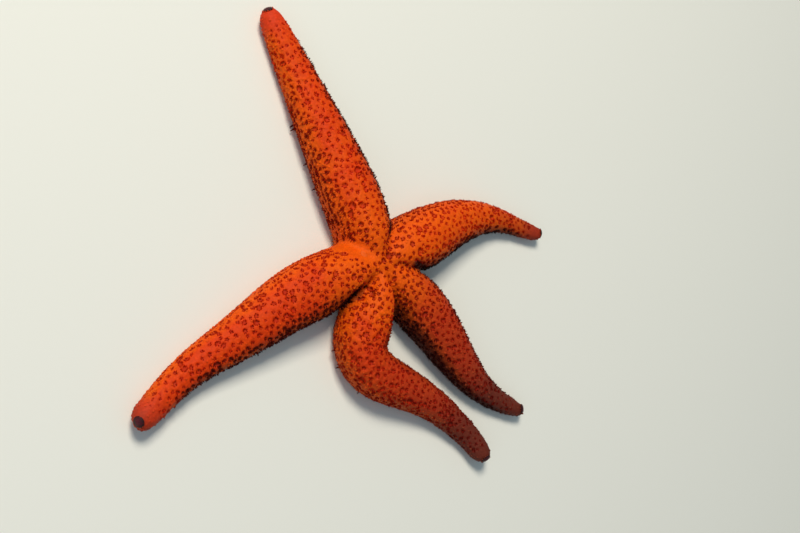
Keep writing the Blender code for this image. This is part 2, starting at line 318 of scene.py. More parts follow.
@dataclass(frozen=True)
class Wrinkles:
    """Shallow folds across an arm, where it bends."""

    arm: int
    start: float
    stop: float
    step: float
    depth: float
    fade_in: float = 4 * MM
    fade_out: float = 6 * MM
    wobble: float = 0.5 * MM       # how far a wrinkle winds,
    wobble_size: float = 1.6 * MM  # how wide its windings are
    slant: float = 0.12            # and how far it leans out of the square

    def share(self, places: "Places") -> Array:
        """How deep each point lies in a wrinkle, from 0 to 1."""
        window = smoothstep(self.start, self.start + self.fade_in, places.along) * (places.arm == self.arm)
        window = window * smoothstep(self.stop, self.stop - self.fade_out, places.along)
        wave = places.along + self.wobble * np.sin(places.side / self.wobble_size) + self.slant * places.side
        return window * (0.5 - 0.5 * np.cos(2 * math.pi * wave / self.step))


WRINKLES = (
    Wrinkles(2, 12 * MM, 52 * MM, 2.0 * MM, 0.16 * MM),
    Wrinkles(3, 14 * MM, 34 * MM, 2.1 * MM, 0.12 * MM),
)


@dataclass(frozen=True)
class BarePatch:
    """An oval of smooth skin without pits, its long side along its own turn."""

    heading: float
    radius: float
    length: float
    width: float
    turn: float


BARE_PATCHES = (
    BarePatch(155, 13.0 * MM, 21.0 * MM, 6.4 * MM, 155),
    BarePatch(29, 11.2 * MM, 5.6 * MM, 3.2 * MM, 78),
)


@dataclass
class Places:
    """Where some points lie on the star, one entry for each point."""

    arm: Array      # number of the nearest arm, from 0
    along: Array    # distance from the middle of the disc along that arm's axis
    side: Array     # distance to the left of the axis
    turn: Array     # angle round the arm: 0 on its ridge, +-pi on its sole
    to_tip: Array   # distance left to the tip
    width: Array    # full width of the arm there
    flat: Array     # place on the floor, measured from the middle of the disc

    def degrees(self) -> Array:
        """How far round the arm each point lies from its ridge, in degrees, on either side."""
        return np.degrees(np.abs(self.turn))

    def pick(self, index: Array) -> "Places":
        """The same facts for some of the points."""
        return Places(**{name: values[index] for name, values in vars(self).items()})


class StarPlan:
    """Turns points of the body into distances along and round its arms."""

    STEP = 0.5 * MM     # between the samples of the arms' axes
    CHUNK = 1500        # points looked up together, to save memory
    AXIS_SHARE = 0.42   # the arms' axes lie at this share of their height

    def __init__(self) -> None:
        """Find the middle of the disc from the mouth's solid and sample the arms' axes."""
        low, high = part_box("mouth")
        self.centre = np.array([(low.x + high.x) / 2, (low.y + high.y) / 2])
        self.axes = [self._sample(arm) for arm in ARMS]

    def _sample(self, arm: Arm) -> tuple[Array, Array, Array]:
        """Distances, places and headings along one arm's axis."""
        steps = np.arange(0, round(arm.length / self.STEP)) * self.STEP
        middle = arm.headings(steps + self.STEP / 2)
        moves = np.stack([np.cos(middle), np.sin(middle)], 1) * self.STEP
        places = np.vstack([[0.0, 0.0], np.cumsum(moves, 0)])
        distances = np.append(steps, steps[-1] + self.STEP)
        return distances, places, arm.headings(distances)

    def axis_place(self, arm: int, along: float) -> Vector:
        """Place on the floor under an arm's axis."""
        distances, places, _ = self.axes[arm]
        x = np.interp(along, distances, places[:, 0]) + self.centre[0]
        y = np.interp(along, distances, places[:, 1]) + self.centre[1]
        return Vector((x, y, 0.0))

    def heading(self, arm: int, along: float) -> float:
        """Heading of an arm's axis at a distance, in radians."""
        distances, _, headings = self.axes[arm]
        return float(np.interp(along, distances, headings))

    def outwards(self, arm: int, along: float) -> Vector:
        """Unit vector along an arm's axis, away from the disc."""
        heading = self.heading(arm, along)
        return Vector((math.cos(heading), math.sin(heading), 0.0))

    def locate(self, points: Array) -> Places:
        """Find the nearest arm of each point and where on it the point lies.

        Args:
            points: n by 3 places in the row frame.

        Returns:
            The points' places.
        """
        flat = points[:, :2] - self.centre
        owner = np.repeat(np.arange(len(ARMS)), [len(axis[0]) for axis in self.axes])
        distances, stations, headings = (np.concatenate(part) for part in zip(*self.axes))
        nearest = np.concatenate([
            np.argmin(((flat[start:start + self.CHUNK, None] - stations) ** 2).sum(2), 1)
            for start in range(0, len(flat), self.CHUNK)])
        arm, rest = owner[nearest], flat - stations[nearest]
        cos, sin = np.cos(headings[nearest]), np.sin(headings[nearest])
        along = distances[nearest] + (rest[:, 0] * cos + rest[:, 1] * sin)
        side = rest[:, 1] * cos - rest[:, 0] * sin
        width, to_tip = np.zeros(len(flat)), np.zeros(len(flat))
        for k, one in enumerate(ARMS):
            mine = arm == k
            width[mine] = one.width(along[mine])
            to_tip[mine] = one.length - along[mine]
        turn = np.arctan2(side, points[:, 2] - width * HEIGHT_SHARE * self.AXIS_SHARE)
        return Places(arm, along, side, turn, to_tip, width, flat)


def on_floor(radius: float, heading: float) -> Array:
    """A place on the floor by its distance and heading, in degrees, from the middle of the disc."""
    return radius * np.array([math.cos(math.radians(heading)), math.sin(math.radians(heading))])


def crease_reach(flat: Array, crease: Crease) -> tuple[Array, Array]:
    """How far points on the floor lie from a crease's line, and how far along it.

    Args:
        flat: n by 2 places, measured from the middle of the disc.
        crease: the crease.

    Returns:
        The distance to the line and the share of the way to its inner end, both n long.
    """
    outer = on_floor(crease.outer_radius, crease.outer_heading)
    line = on_floor(crease.inner_radius, crease.inner_heading) - outer
    share = np.clip(((flat - outer) @ line) / (line @ line), 0.0, 1.0)
    gap = flat - (outer + share[:, None] * line)
    return np.hypot(gap[:, 0], gap[:, 1]), share


# ------ markings


class Mark(Enum):
    """The markings that skin and coat share, each stored as an attribute from 0 to 1."""

    RED = "red"        # vermilion backs of the arms, against the orange of disc and flanks; the disc's orange is partly painted light
    TIP = "tip"        # duller red, smooth ends of the arms
    FOLD = "fold"      # painted shade: dark creases between the arms, shaded flanks and far ends, with some pits' and long fingers' own darker colour
    DULL = "dull"      # painted shade: brown towards the ends of some arms, for the light's falloff, and low on some flanks
    SOLE = "sole"      # paler skin below
    PIT = "pit"        # dark patches where the gill fingers stand
    HEART = "heart"    # lighter middle of such a patch
    RISE = "rise"      # from 0 at a coat part's root to 1 at its end


@dataclass(frozen=True)
class Markings:
    """Where on the body each marking lies."""

    tip_start: float = 13 * MM   # the smooth red ends start this far from the tips
    tip_full: float = 5 * MM
    red_start: float = 13 * MM   # the red of the backs, from the middle of the disc, whose orange is partly painted light
    red_full: float = 34 * MM
    red_strength: PerArm = (0.74, 0.98, 1.0, 1.0, 0.22)
    brown_shade_reach: PerArm = mm(10, 14, 80, 84, 32)  # how far from its tip each arm's painted brown shade reaches
    brown_shade_strength: PerArm = (0.15, 0.55, 1.10, 1.14, 0.70)
    brown_shade_curve: tuple[Span, ...] = ((0, 0), (0.25, 0.26), (0.54, 0.46), (0.74, 0.86), (1, 1))
    # Painted shade, with the pits' own darker colour on some flanks: how dark the pits are on each
    # arm's left and right flank, seen from the disc, and by how many degrees the dark part reaches up towards
    # the ridge.
    flank_shade: PerFlank = ((0.52, 0.90), (0.88, 0.26), (0.70, 0.36), (0.85, 0.95), (0.42, 0.98))
    flank_lead: PerFlank = ((0, 26), (30, 6), (26, 0), (26, 14), (4, 14))
    # How much of that painted shade the skin between the pits takes low on those flanks,
    # and how far from the tip the flank's dark part is full.
    flank_edge: PerFlank = ((0.10, 0.75), (0.45, 0.00), (0.60, 0.05), (0.60, 0.75), (0.20, 0.72))
    flank_end: PerFlank = (mm(50, 20), mm(20, 20), mm(12, 12), mm(12, 12), mm(24, 14))
    # How far painted brown shade covers the skin itself on those flanks, and how dark the pits of the backs
    # are.
    flank_brown_shade: PerFlank = ((0, 0.15), (0, 0), (0, 0.05), (0, 0.80), (0, 0.22))
    back_shade: PerArm = (0.0, 0.16, 0.18, 0.34, 0.0)
    brown_shade_pits: float = 0.74     # how dark the pits are in the painted brown shade of the ends
    disc_shade: float = 0.30     # and on the disc
    disc_start: float = 20 * MM
    disc_full: float = 10 * MM
    # The degrees from the ridge between which each of these comes in.
    back_edge: Span = (75, 30)       # the red of the backs
    sole_edge: Span = (107, 140)     # the paler sole
    pit_flank: Span = (32, 78)       # the painted shade of the flanks' pits
    skin_flank: Span = (54, 96)      # that of the skin between them, and where it ends again
    skin_flank_end: Span = (135, 115)
    brown_flank: Span = (22, 80)     # the painted brown shade of the flanks, which also starts this far out:
    brown_from_disc: Span = mm(16, 34)
    # The shares of a crease's length between which its painted shade comes in at either end, and
    # the share of its half width that is fully dark.
    crease_outside: Span = (0.0, 0.08)
    crease_inside: Span = (1.0, 0.75)
    crease_core: float = 0.4

    def of(self, places: Places) -> dict[Mark, Array]:
        """Work out the markings that depend on the place alone.

        Args:
            places: where the points lie.

        Returns:
            The strength of each marking at each point.
        """
        turn = places.degrees()
        red = smoothstep(self.red_start, self.red_full, places.along) * smoothstep(*self.back_edge, turn)
        return {
            Mark.RED: red * np.array(self.red_strength)[places.arm],
            Mark.TIP: smoothstep(self.tip_start, self.tip_full, places.to_tip),
            Mark.FOLD: self.fold(places),
            Mark.DULL: self.dull(places),
            Mark.SOLE: smoothstep(*self.sole_edge, turn),
        }

    def dull(self, places: Places) -> Array:
        """Painted brown shade: more and more towards some tips, for the light's falloff there, and low on
        some flanks.
        """
        share = 1 - places.to_tip / np.array(self.brown_shade_reach)[places.arm]
        end = np.array(self.brown_shade_strength)[places.arm] * np.interp(share, *np.array(self.brown_shade_curve).T)
        below = self._of_side(places, self.flank_brown_shade) * smoothstep(*self.brown_flank, places.degrees())
        return np.clip(np.maximum(end, below * smoothstep(*self.brown_from_disc, places.along)), 0, 1)

    def fold(self, places: Places) -> Array:
        """Painted shade of the creases: full on their lines and gone a crease's width away."""
        dark = np.zeros(len(places.along))
        for crease in CREASES:
            reach, share = crease_reach(places.flat, crease)
            fade = crease.darkness * smoothstep(*self.crease_inside, share)
            fade = fade * smoothstep(*self.crease_outside, share)
            core = self.crease_core * crease.half_width
            dark = np.maximum(dark, fade * smoothstep(crease.half_width, core, reach))
        return dark

    def flank(self, places: Places, edge: Span) -> Array:
        """Painted shade of the arms' flanks, with some pits' own darker colour, from none at the edge's first
        turn to full at its second.
        """
        shade = self._of_side(places, self.flank_shade)
        turn = places.degrees() + self._of_side(places, self.flank_lead)
        left = places.to_tip / self._of_side(places, self.flank_end)
        return shade * smoothstep(*edge, turn) * smoothstep(0.3, 1, left)

    def edge(self, places: Places) -> Array:
        """Painted shade on the skin itself, low on the shaded flanks."""
        low = smoothstep(*self.skin_flank_end, places.degrees())
        return self._of_side(places, self.flank_edge) * self.flank(places, self.skin_flank) * low

    def _of_side(self, places: Places, pairs: PerFlank) -> Array:
        """Each point's value from a table of each arm's left and right flank."""
        return np.where(places.turn > 0, *np.array(pairs).T[:, places.arm])

    def pit_shade(self, places: Places) -> Array:
        """How dark pits are: least on the orange backs, most on some flanks and in the brown ends, where it
        is painted shade.
        """
        disc = self.disc_shade * smoothstep(self.disc_start, self.disc_full, places.along)
        back = np.array(self.back_shade)[places.arm]
        flank = self.flank(places, self.pit_flank)
        return np.maximum.reduce([flank, self.brown_shade_pits * self.dull(places), disc, back])


# ------ finishes


# The black of the painted shade over creases, shaded flanks and far ends.
PAINTED_SHADE_BLACK = "1C0505"
LOWER, UPPER, MIXED = 6, 7, 2  # where a Mix node takes its two colours and gives the result


def new_finish(name: str, roughness: float, specular: float = 0.5) -> tuple[Finish, Tree, Node]:
    """Start a material whose gloss is the same all over.

    Args:
        name: the material's name.
        roughness: how matt it is.
        specular: its specular level.

    Returns:
        The material, its tree and its shader.
    """
    material = bpy.data.materials.new(name)
    material.use_nodes = True
    shader = material.node_tree.nodes["Principled BSDF"]
    shader.inputs["Roughness"].default_value = roughness
    shader.inputs["Specular IOR Level"].default_value = specular
    return material, material.node_tree, shader


def uneven_tone(tree: Tree, size: float, low: float, high: float, detail: float = 2.0) -> Node:
    """Soft noise in the object's own space, spread out to a range.

    Args:
        tree: the shader tree.
        size: the real size of its spots.
        low: its least value.
        high: its greatest value.
        detail: how much finer noise lies over the spots.

    Returns:
        The node that gives the values.
    """
    place = add_node(tree, "ShaderNodeTexCoord").outputs["Object"]
    noise = add_node(tree, "ShaderNodeTexNoise", {"Vector": place, "Scale": 1 / size, "Detail": detail})
    return add_node(tree, "ShaderNodeMapRange", {"Value": noise.outputs["Fac"], "From Min": 0.3,
                                                 "From Max": 0.7, "To Min": low, "To Max": high})


def lay_over(tree: Tree, colour: Socket | Colour, layers: Sequence[tuple[Socket | Node, str]]) -> Socket:
    """Lay colours over each other.

    Args:
        tree: the shader tree.
        colour: the lowest colour.
        layers: how strong each further layer is, and its colour.

    Returns:
        The colour that results.
    """
    for strength, code in layers:
        colour = add_node(tree, "ShaderNodeMix", {0: strength, LOWER: colour, UPPER: linear_colour(code)},
                          data_type="RGBA").outputs[MIXED]
    return colour


@dataclass(frozen=True)
class SeaStarSkin:
    """Living sea star skin: a thin soft layer over a limy net.

    It gives the eye a saturated orange-red with a fine grain, darker where it is thin over
    the gill patches, and a soft satin shine with no hard glints. Painted shade darkens its
    creases, some flanks, the ends of some arms and the hollows of its fine relief.
    """

    name: str = "sea_star_skin"
    orange: str = "E85A00"
    vermilion: str = "D83C04"
    tip_red: str = "DC3C14"
    # painted shade: the brown of some arms' ends and of some flanks
    painted_shade_brown: str = "6A2C20"
    sole_buff: str = "EE8C44"
    patch_maroon: str = "B81C03"
    patch_heart: str = "C83A0C"
    knob_amber: str = "F8782A"
    grain: float = 0.45 * MM     # size of the skin's fine grain,
    grain_height: float = 0.12 * MM
    grain_tones: Span = (0.90, 1.06)
    detail: float = 3.0          # and how much finer noise lies over it
    pebble: float = 0.95 * MM    # size of the net's small plates,
    pebble_softness: float = 0.6
    pebble_height: float = 0.16 * MM
    pebble_shade_tones: Span = (0.87, 1.05)
    mottle: float = 6 * MM       # size of the backs' soft changes of tone,
    mottle_strength: float = 0.3
    stain: float = 2.4 * MM      # size of the spots where the pits are fainter or darker,
    stain_tones: Span = (0.48, 0.90)
    knob_strength: float = 0.08
    roughness: float = 0.62
    specular: float = 0.14

    def build(self) -> Finish:
        """Make the material for the skin and for the coat parts that are drawn out of it."""
        material, tree, shader = new_finish(self.name, self.roughness, self.specular)
        add = partial(add_node, tree)
        place = add("ShaderNodeTexCoord").outputs["Object"]
        cells = add("ShaderNodeTexVoronoi", {"Vector": place, "Scale": 1 / self.pebble,
                                             "Smoothness": self.pebble_softness}, feature="SMOOTH_F1")
        # Low rounded pebbles: the ends of the limy net's small plates under the skin.
        pebbles = add("ShaderNodeMapRange", {"Value": cells, "From Min": 0.1, "From Max": 0.7,
                                             "To Min": 1.0, "To Max": 0.0})
        grain = add("ShaderNodeTexNoise", {"Vector": place, "Scale": 1 / self.grain, "Detail": self.detail})
        coarse = add("ShaderNodeBump", {"Height": pebbles, "Strength": 0.5, "Distance": self.pebble_height})
        fine = add("ShaderNodeBump", {"Height": grain, "Strength": 0.3, "Distance": self.grain_height,
                                      "Normal": coarse})
        tree.links.new(fine.outputs[0], shader.inputs["Normal"])
        tree.links.new(self._base_colour(tree, pebbles), shader.inputs["Base Color"])
        return material

    def _base_colour(self, tree: Tree, pebbles: Node) -> Socket:
        """Lay the markings over each other, the palest first.

        Args:
            tree: the material's tree.
            pebbles: gives the height of the skin's pebbles.

        Returns:
            The colour.
        """
        add = partial(add_node, tree)
        marks = {mark: add("ShaderNodeAttribute", attribute_name=mark.value).outputs["Fac"] for mark in Mark}
        mottle = uneven_tone(tree, self.mottle, -self.mottle_strength, self.mottle_strength)
        stain = uneven_tone(tree, self.stain, *self.stain_tones)
        for mark, change, operation in ((Mark.RED, mottle, "ADD"), (Mark.PIT, stain, "MULTIPLY"),
                                        (Mark.RISE, self.knob_strength, "MULTIPLY")):
            marks[mark] = add("ShaderNodeMath", {0: marks[mark], 1: change},
                              operation=operation, use_clamp=True)
        # The brown layer is painted shade, for the light's falloff towards some ends and for some flanks.
        colour = lay_over(tree, linear_colour(self.orange), (
            (marks[Mark.RED], self.vermilion), (marks[Mark.TIP], self.tip_red),
            (marks[Mark.DULL], self.painted_shade_brown), (marks[Mark.SOLE], self.sole_buff),
            (marks[Mark.PIT], self.patch_maroon), (marks[Mark.HEART], self.patch_heart),
            (marks[Mark.RISE], self.knob_amber)))
        # The grain's and the pebbles' tones follow the heights of their bumps: painted shade in the hollows,
        # with the grain's own uneven tone.
        grain = uneven_tone(tree, self.grain, *self.grain_tones, self.detail)
        low, high = self.pebble_shade_tones
        relief = add("ShaderNodeMapRange", {"Value": pebbles, "To Min": low, "To Max": high})
        both = add("ShaderNodeMath", {0: grain, 1: relief}, operation="MULTIPLY")
        shaded = add("ShaderNodeMix", {0: 1.0, LOWER: colour, UPPER: both},
                     data_type="RGBA", blend_type="MULTIPLY").outputs[MIXED]
        # Painted shade: black over the creases, the shaded flanks and the far ends.
        return lay_over(tree, shaded, ((marks[Mark.FOLD], PAINTED_SHADE_BLACK),))


@dataclass(frozen=True)
class TintedFlesh:
    """Soft wet flesh that runs from one colour at the root to another at the end, and turns black under
    painted shade.

    Gill fingers, tube feet and the mouth's lips are such flesh: darker or paler than the
    skin, smooth, and with a slightly sharper shine because they are thin and full of water.
    """

    name: str
    root: str
    end: str
    roughness: float = 0.5
    specular: float = 0.25
    mottle: float = 1.2 * MM
    unevenness: float = 0.25

    def build(self) -> Finish:
        """Make the material."""
        material, tree, shader = new_finish(self.name, self.roughness, self.specular)
        rise, fold = (add_node(tree, "ShaderNodeAttribute", attribute_name=mark.value).outputs["Fac"]
                      for mark in (Mark.RISE, Mark.FOLD))
        tone = uneven_tone(tree, self.mottle, -self.unevenness, self.unevenness)
        share = add_node(tree, "ShaderNodeMath", {0: rise, 1: tone}, operation="ADD", use_clamp=True)
        colour = lay_over(tree, linear_colour(self.root), ((share, self.end), (fold, PAINTED_SHADE_BLACK)))
        tree.links.new(colour, shader.inputs["Base Color"])
        return material


# ------ the skin


@dataclass
class Pits:
    """The sunken patches of the skin, one entry for each."""

    points: Array   # their middles, n by 3
    lie: Array      # unit vectors along their longer side
    normals: Array
    long: Array     # half lengths
    short: Array    # half widths
    arm: Array
    turn: Array     # degrees round the arm, always positive
    on_left: Array  # whether they lie on the arm's left side


@dataclass
class Skin:
    """One skin over the disc and the arms, with its net of ridges and pits."""

    plan: StarPlan
    markings: Markings
    voxel: float = 0.48 * MM
    most_triangles: int = 188_000  # the sole is thinned out down to this
    swell: float = 0.25 * MM       # closes the thin cuts between the solids
    smoothing: int = 26
    coat_depth: float = 0.28 * MM  # how far the skin lies inside the solids
    rounding_loss: float = 0.15 * MM  # what the smoothing takes off a thin arm
    fold_width: float = 1.1 * MM
    fold_end: Span = (1.0, 0.55)   # the shares of a crease between which it gets its depth
    folded: Span = mm(3, 8)        # the heights between which folds and wrinkles come in
    sole_slope: Span = (-0.2, -0.6)  # how far down the faces look that are thinned out

    def __post_init__(self) -> None:
        """Make the smooth skin and keep its surface for the coat to stand on."""
        self.piece = self._flesh()
        self._settle()
        self.places = self.plan.locate(mesh_points(self.piece.data))
        self.smooth = BVHTree.FromObject(self.piece, bpy.context.evaluated_depsgraph_get())

    def flesh_nodes(self) -> list[str]:
        """The solids that the skin stands for."""
        return [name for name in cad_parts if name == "disc" or name.startswith("arm_")]

    def _flesh(self) -> Piece:
        """Join the swollen solids into one mesh and round it."""
        whole = bmesh.new()
        for name in self.flesh_nodes() + [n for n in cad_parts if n.startswith(("eyespot_", "madrep"))]:
            solid = bmesh.new()
            solid.from_mesh(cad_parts[name].data)
            bmesh.ops.remove_doubles(solid, verts=solid.verts, dist=0.001 * MM)
            solid.normal_update()
            moved = [vert.co + vert.normal * self.swell for vert in solid.verts]
            for vert, place in zip(solid.verts, moved):
                vert.co = place
            copy = bpy.data.meshes.new(name + "_swollen")
            solid.to_mesh(copy)
            solid.free()
            whole.from_mesh(copy)
            bpy.data.meshes.remove(copy)
        mesh = bpy.data.meshes.new("skin")
        whole.to_mesh(mesh)
        whole.free()
        piece = new_piece("skin", mesh)
        remesh = piece.modifiers.new("one_body", "REMESH")
        remesh.mode = "VOXEL"
        remesh.voxel_size = self.voxel
        rounding = piece.modifiers.new("rounding", "SMOOTH")
        rounding.factor = 0.5
        rounding.iterations = self.smoothing
        apply_modifiers(piece)
        self._thin_sole(piece)
        return piece

    def _thin_sole(self, piece: Piece) -> None:
        """Leave fewer faces below, where the skin is plain, so that the back can have small ones."""
        down = smoothstep(*self.sole_slope, mesh_normals(piece.data)[:, 2])
        sole = piece.vertex_groups.new(name="sole")
        levels = 10
        for level in range(1, levels + 1):
            chosen = np.flatnonzero((down * levels).round() == level)
            sole.add(chosen.tolist(), level / levels, "REPLACE")
        thinning = piece.modifiers.new("thin_sole", "DECIMATE")
        thinning.ratio = self.most_triangles / count_triangles(piece.data)
        thinning.vertex_group = sole.name
        apply_modifiers(piece)
        piece.vertex_groups.clear()

    def _settle(self) -> None:
        """Draw the skin in by the coat's depth and sink it along the creases."""
        mesh = self.piece.data
        points, normals = mesh_points(mesh), mesh_normals(mesh)
        places = self.plan.locate(points)
        points = points - normals * (self.swell + self.coat_depth - self.rounding_loss)
        upper = smoothstep(*self.folded, points[:, 2])
        for wrinkles in WRINKLES:
            points -= normals * (wrinkles.depth * wrinkles.share(places) * upper)[:, None]
        for crease in CREASES:
            reach, share = crease_reach(places.flat, crease)
            depth = crease.depth * smoothstep(*self.fold_end, share)
            drop = depth * np.exp(-(reach / self.fold_width) ** 2)
            points[:, 2] -= drop * upper
        move_points(mesh, points)


# ------ geometry trees


def new_tree(name: str, sockets: Mapping[str, tuple[str, object]]) -> tuple[Tree, Node]:
    """Start a geometry tree with a geometry in and out and named inputs.

    Args:
        name: the tree's name.
        sockets: for each further input its socket type and its default, or None.

    Returns:
        The tree and its group input node.
    """
    tree = bpy.data.node_groups.new(name, "GeometryNodeTree")
    tree.interface.new_socket("Geometry", in_out="INPUT", socket_type="NodeSocketGeometry")
    tree.interface.new_socket("Geometry", in_out="OUTPUT", socket_type="NodeSocketGeometry")
    for label, (kind, value) in sockets.items():
        socket = tree.interface.new_socket(label, in_out="INPUT", socket_type=kind)
        if value is not None:
            socket.default_value = value
    return tree, add_node(tree, "NodeGroupInput")


def named(tree: Tree, name: str, kind: str = "FLOAT") -> Node:
    """A named attribute as a field."""
    return add_node(tree, "GeometryNodeInputNamedAttribute", {"Name": name}, data_type=kind)


def store(tree: Tree, geometry: Socket | Node, name: str, value: Socket | Node, kind: str = "FLOAT",
          domain: str = "POINT") -> Node:
    """Store a field as a named attribute and hand the geometry on."""
    return add_node(tree, "GeometryNodeStoreNamedAttribute",
                    {"Geometry": geometry, "Name": name, "Value": value}, data_type=kind, domain=domain)


def pitted_net_tree() -> Tree:
    """The skin's relief: every pit sinks an oval hollow, and the net between them is lumpy.

    Returns:
        A tree that moves the skin's points and stores its pit, heart and net attributes.
    """
    tree, group = new_tree("pitted_net", {
        "Pits": ("NodeSocketObject", None),
        "Depth share": ("NodeSocketFloat", 0.78),
        "Ragged": ("NodeSocketFloat", 0.25),
        "Rag size": ("NodeSocketFloat", 1.1 * MM),
        "Lump size": ("NodeSocketFloat", 1.3 * MM),
        "Lump height": ("NodeSocketFloat", 0.22 * MM),
    })
    inside = group.outputs
    add = partial(add_node, tree)
    pits = add("GeometryNodeObjectInfo", {"Object": inside["Pits"]}).outputs["Geometry"]
    place = add("GeometryNodeInputPosition")
    nearest = add("GeometryNodeSampleNearest", {"Geometry": pits, "Sample Position": place}, domain="POINT")
    of_pit = {}
    for name, kind in (("position", "FLOAT_VECTOR"), ("lie", "FLOAT_VECTOR"), ("long", "FLOAT"),
                       ("short", "FLOAT"), ("heart_size", "FLOAT")):
        value = place if name == "position" else named(tree, name, kind)
        of_pit[name] = add("GeometryNodeSampleIndex",
                           {"Geometry": pits, "Value": value, "Index": nearest},
                           data_type=kind, domain="POINT").outputs["Value"]
    gap = add("ShaderNodeVectorMath", {0: place, 1: of_pit["position"]}, operation="SUBTRACT")
    ahead, whole = (add("ShaderNodeVectorMath", {0: gap, 1: other},
                        operation="DOT_PRODUCT").outputs["Value"] for other in (of_pit["lie"], gap))
    ahead_squared = add("ShaderNodeMath", {0: ahead, 1: 2.0}, operation="POWER")
    aside_squared = add("ShaderNodeMath", {0: whole, 1: ahead_squared}, operation="SUBTRACT")
    aside = add("ShaderNodeMath", {0: aside_squared, 1: 0.0}, operation="MAXIMUM")
    terms = []
    for squared, size in ((ahead_squared, of_pit["long"]), (aside, of_pit["short"])):
        size_squared = add("ShaderNodeMath", {0: size, 1: 2.0}, operation="POWER")
        terms.append(add("ShaderNodeMath", {0: squared, 1: size_squared}, operation="DIVIDE"))
    both = add("ShaderNodeMath", {0: terms[0], 1: terms[1]}, operation="ADD")
    oval = add("ShaderNodeMath", {0: both}, operation="SQRT")

    noises = []
    for size, detail, middle in (("Rag size", 1.0, 0.5), ("Lump size", 2.0, 0.6)):
        scale = add("ShaderNodeMath", {0: 1.0, 1: inside[size]}, operation="DIVIDE")
        noise = add("ShaderNodeTexNoise", {"Scale": scale, "Detail": detail})
        noises.append(add("ShaderNodeMath", {0: noise, 1: middle}, operation="SUBTRACT"))
    rag, lump = noises
    ragged = add("ShaderNodeMath", {0: inside["Ragged"], 1: 4.0}, operation="MULTIPLY")
    reach = add("ShaderNodeMath", {0: rag, 1: ragged, 2: oval}, operation="MULTIPLY_ADD")

    bands = {}
    for name, start, end in (("sink", 1.45, 0.35), (Mark.PIT.value, 1.30, 0.52),
                             (Mark.HEART.value, 0.50, 0.20), ("net", 1.0, 1.15)):
        bands[name] = add("ShaderNodeMapRange",
                          {"Value": reach, "From Min": start, "From Max": end},
                          interpolation_type="SMOOTHSTEP")
    products = []
    for one, other in ((bands[Mark.HEART.value], of_pit["heart_size"]),
                       (of_pit["short"], inside["Depth share"]), (lump, inside["Lump height"])):
        products.append(add("ShaderNodeMath", {0: one, 1: other}, operation="MULTIPLY"))
    bands[Mark.HEART.value], deep, rise = products
    sink = add("ShaderNodeMath", {0: bands["sink"], 1: deep}, operation="MULTIPLY")
    lift = add("ShaderNodeMath", {0: rise, 1: sink}, operation="SUBTRACT")
    offset = add("ShaderNodeVectorMath",
                 {0: add("GeometryNodeInputNormal"), "Scale": lift}, operation="SCALE")

    geometry = inside["Geometry"]
    for name in (Mark.PIT.value, Mark.HEART.value, "net"):
        geometry = store(tree, geometry, name, bands[name])
    moved = add("GeometryNodeSetPosition", {"Geometry": geometry, "Offset": offset})
    add("NodeGroupOutput", {"Geometry": moved})
    return tree


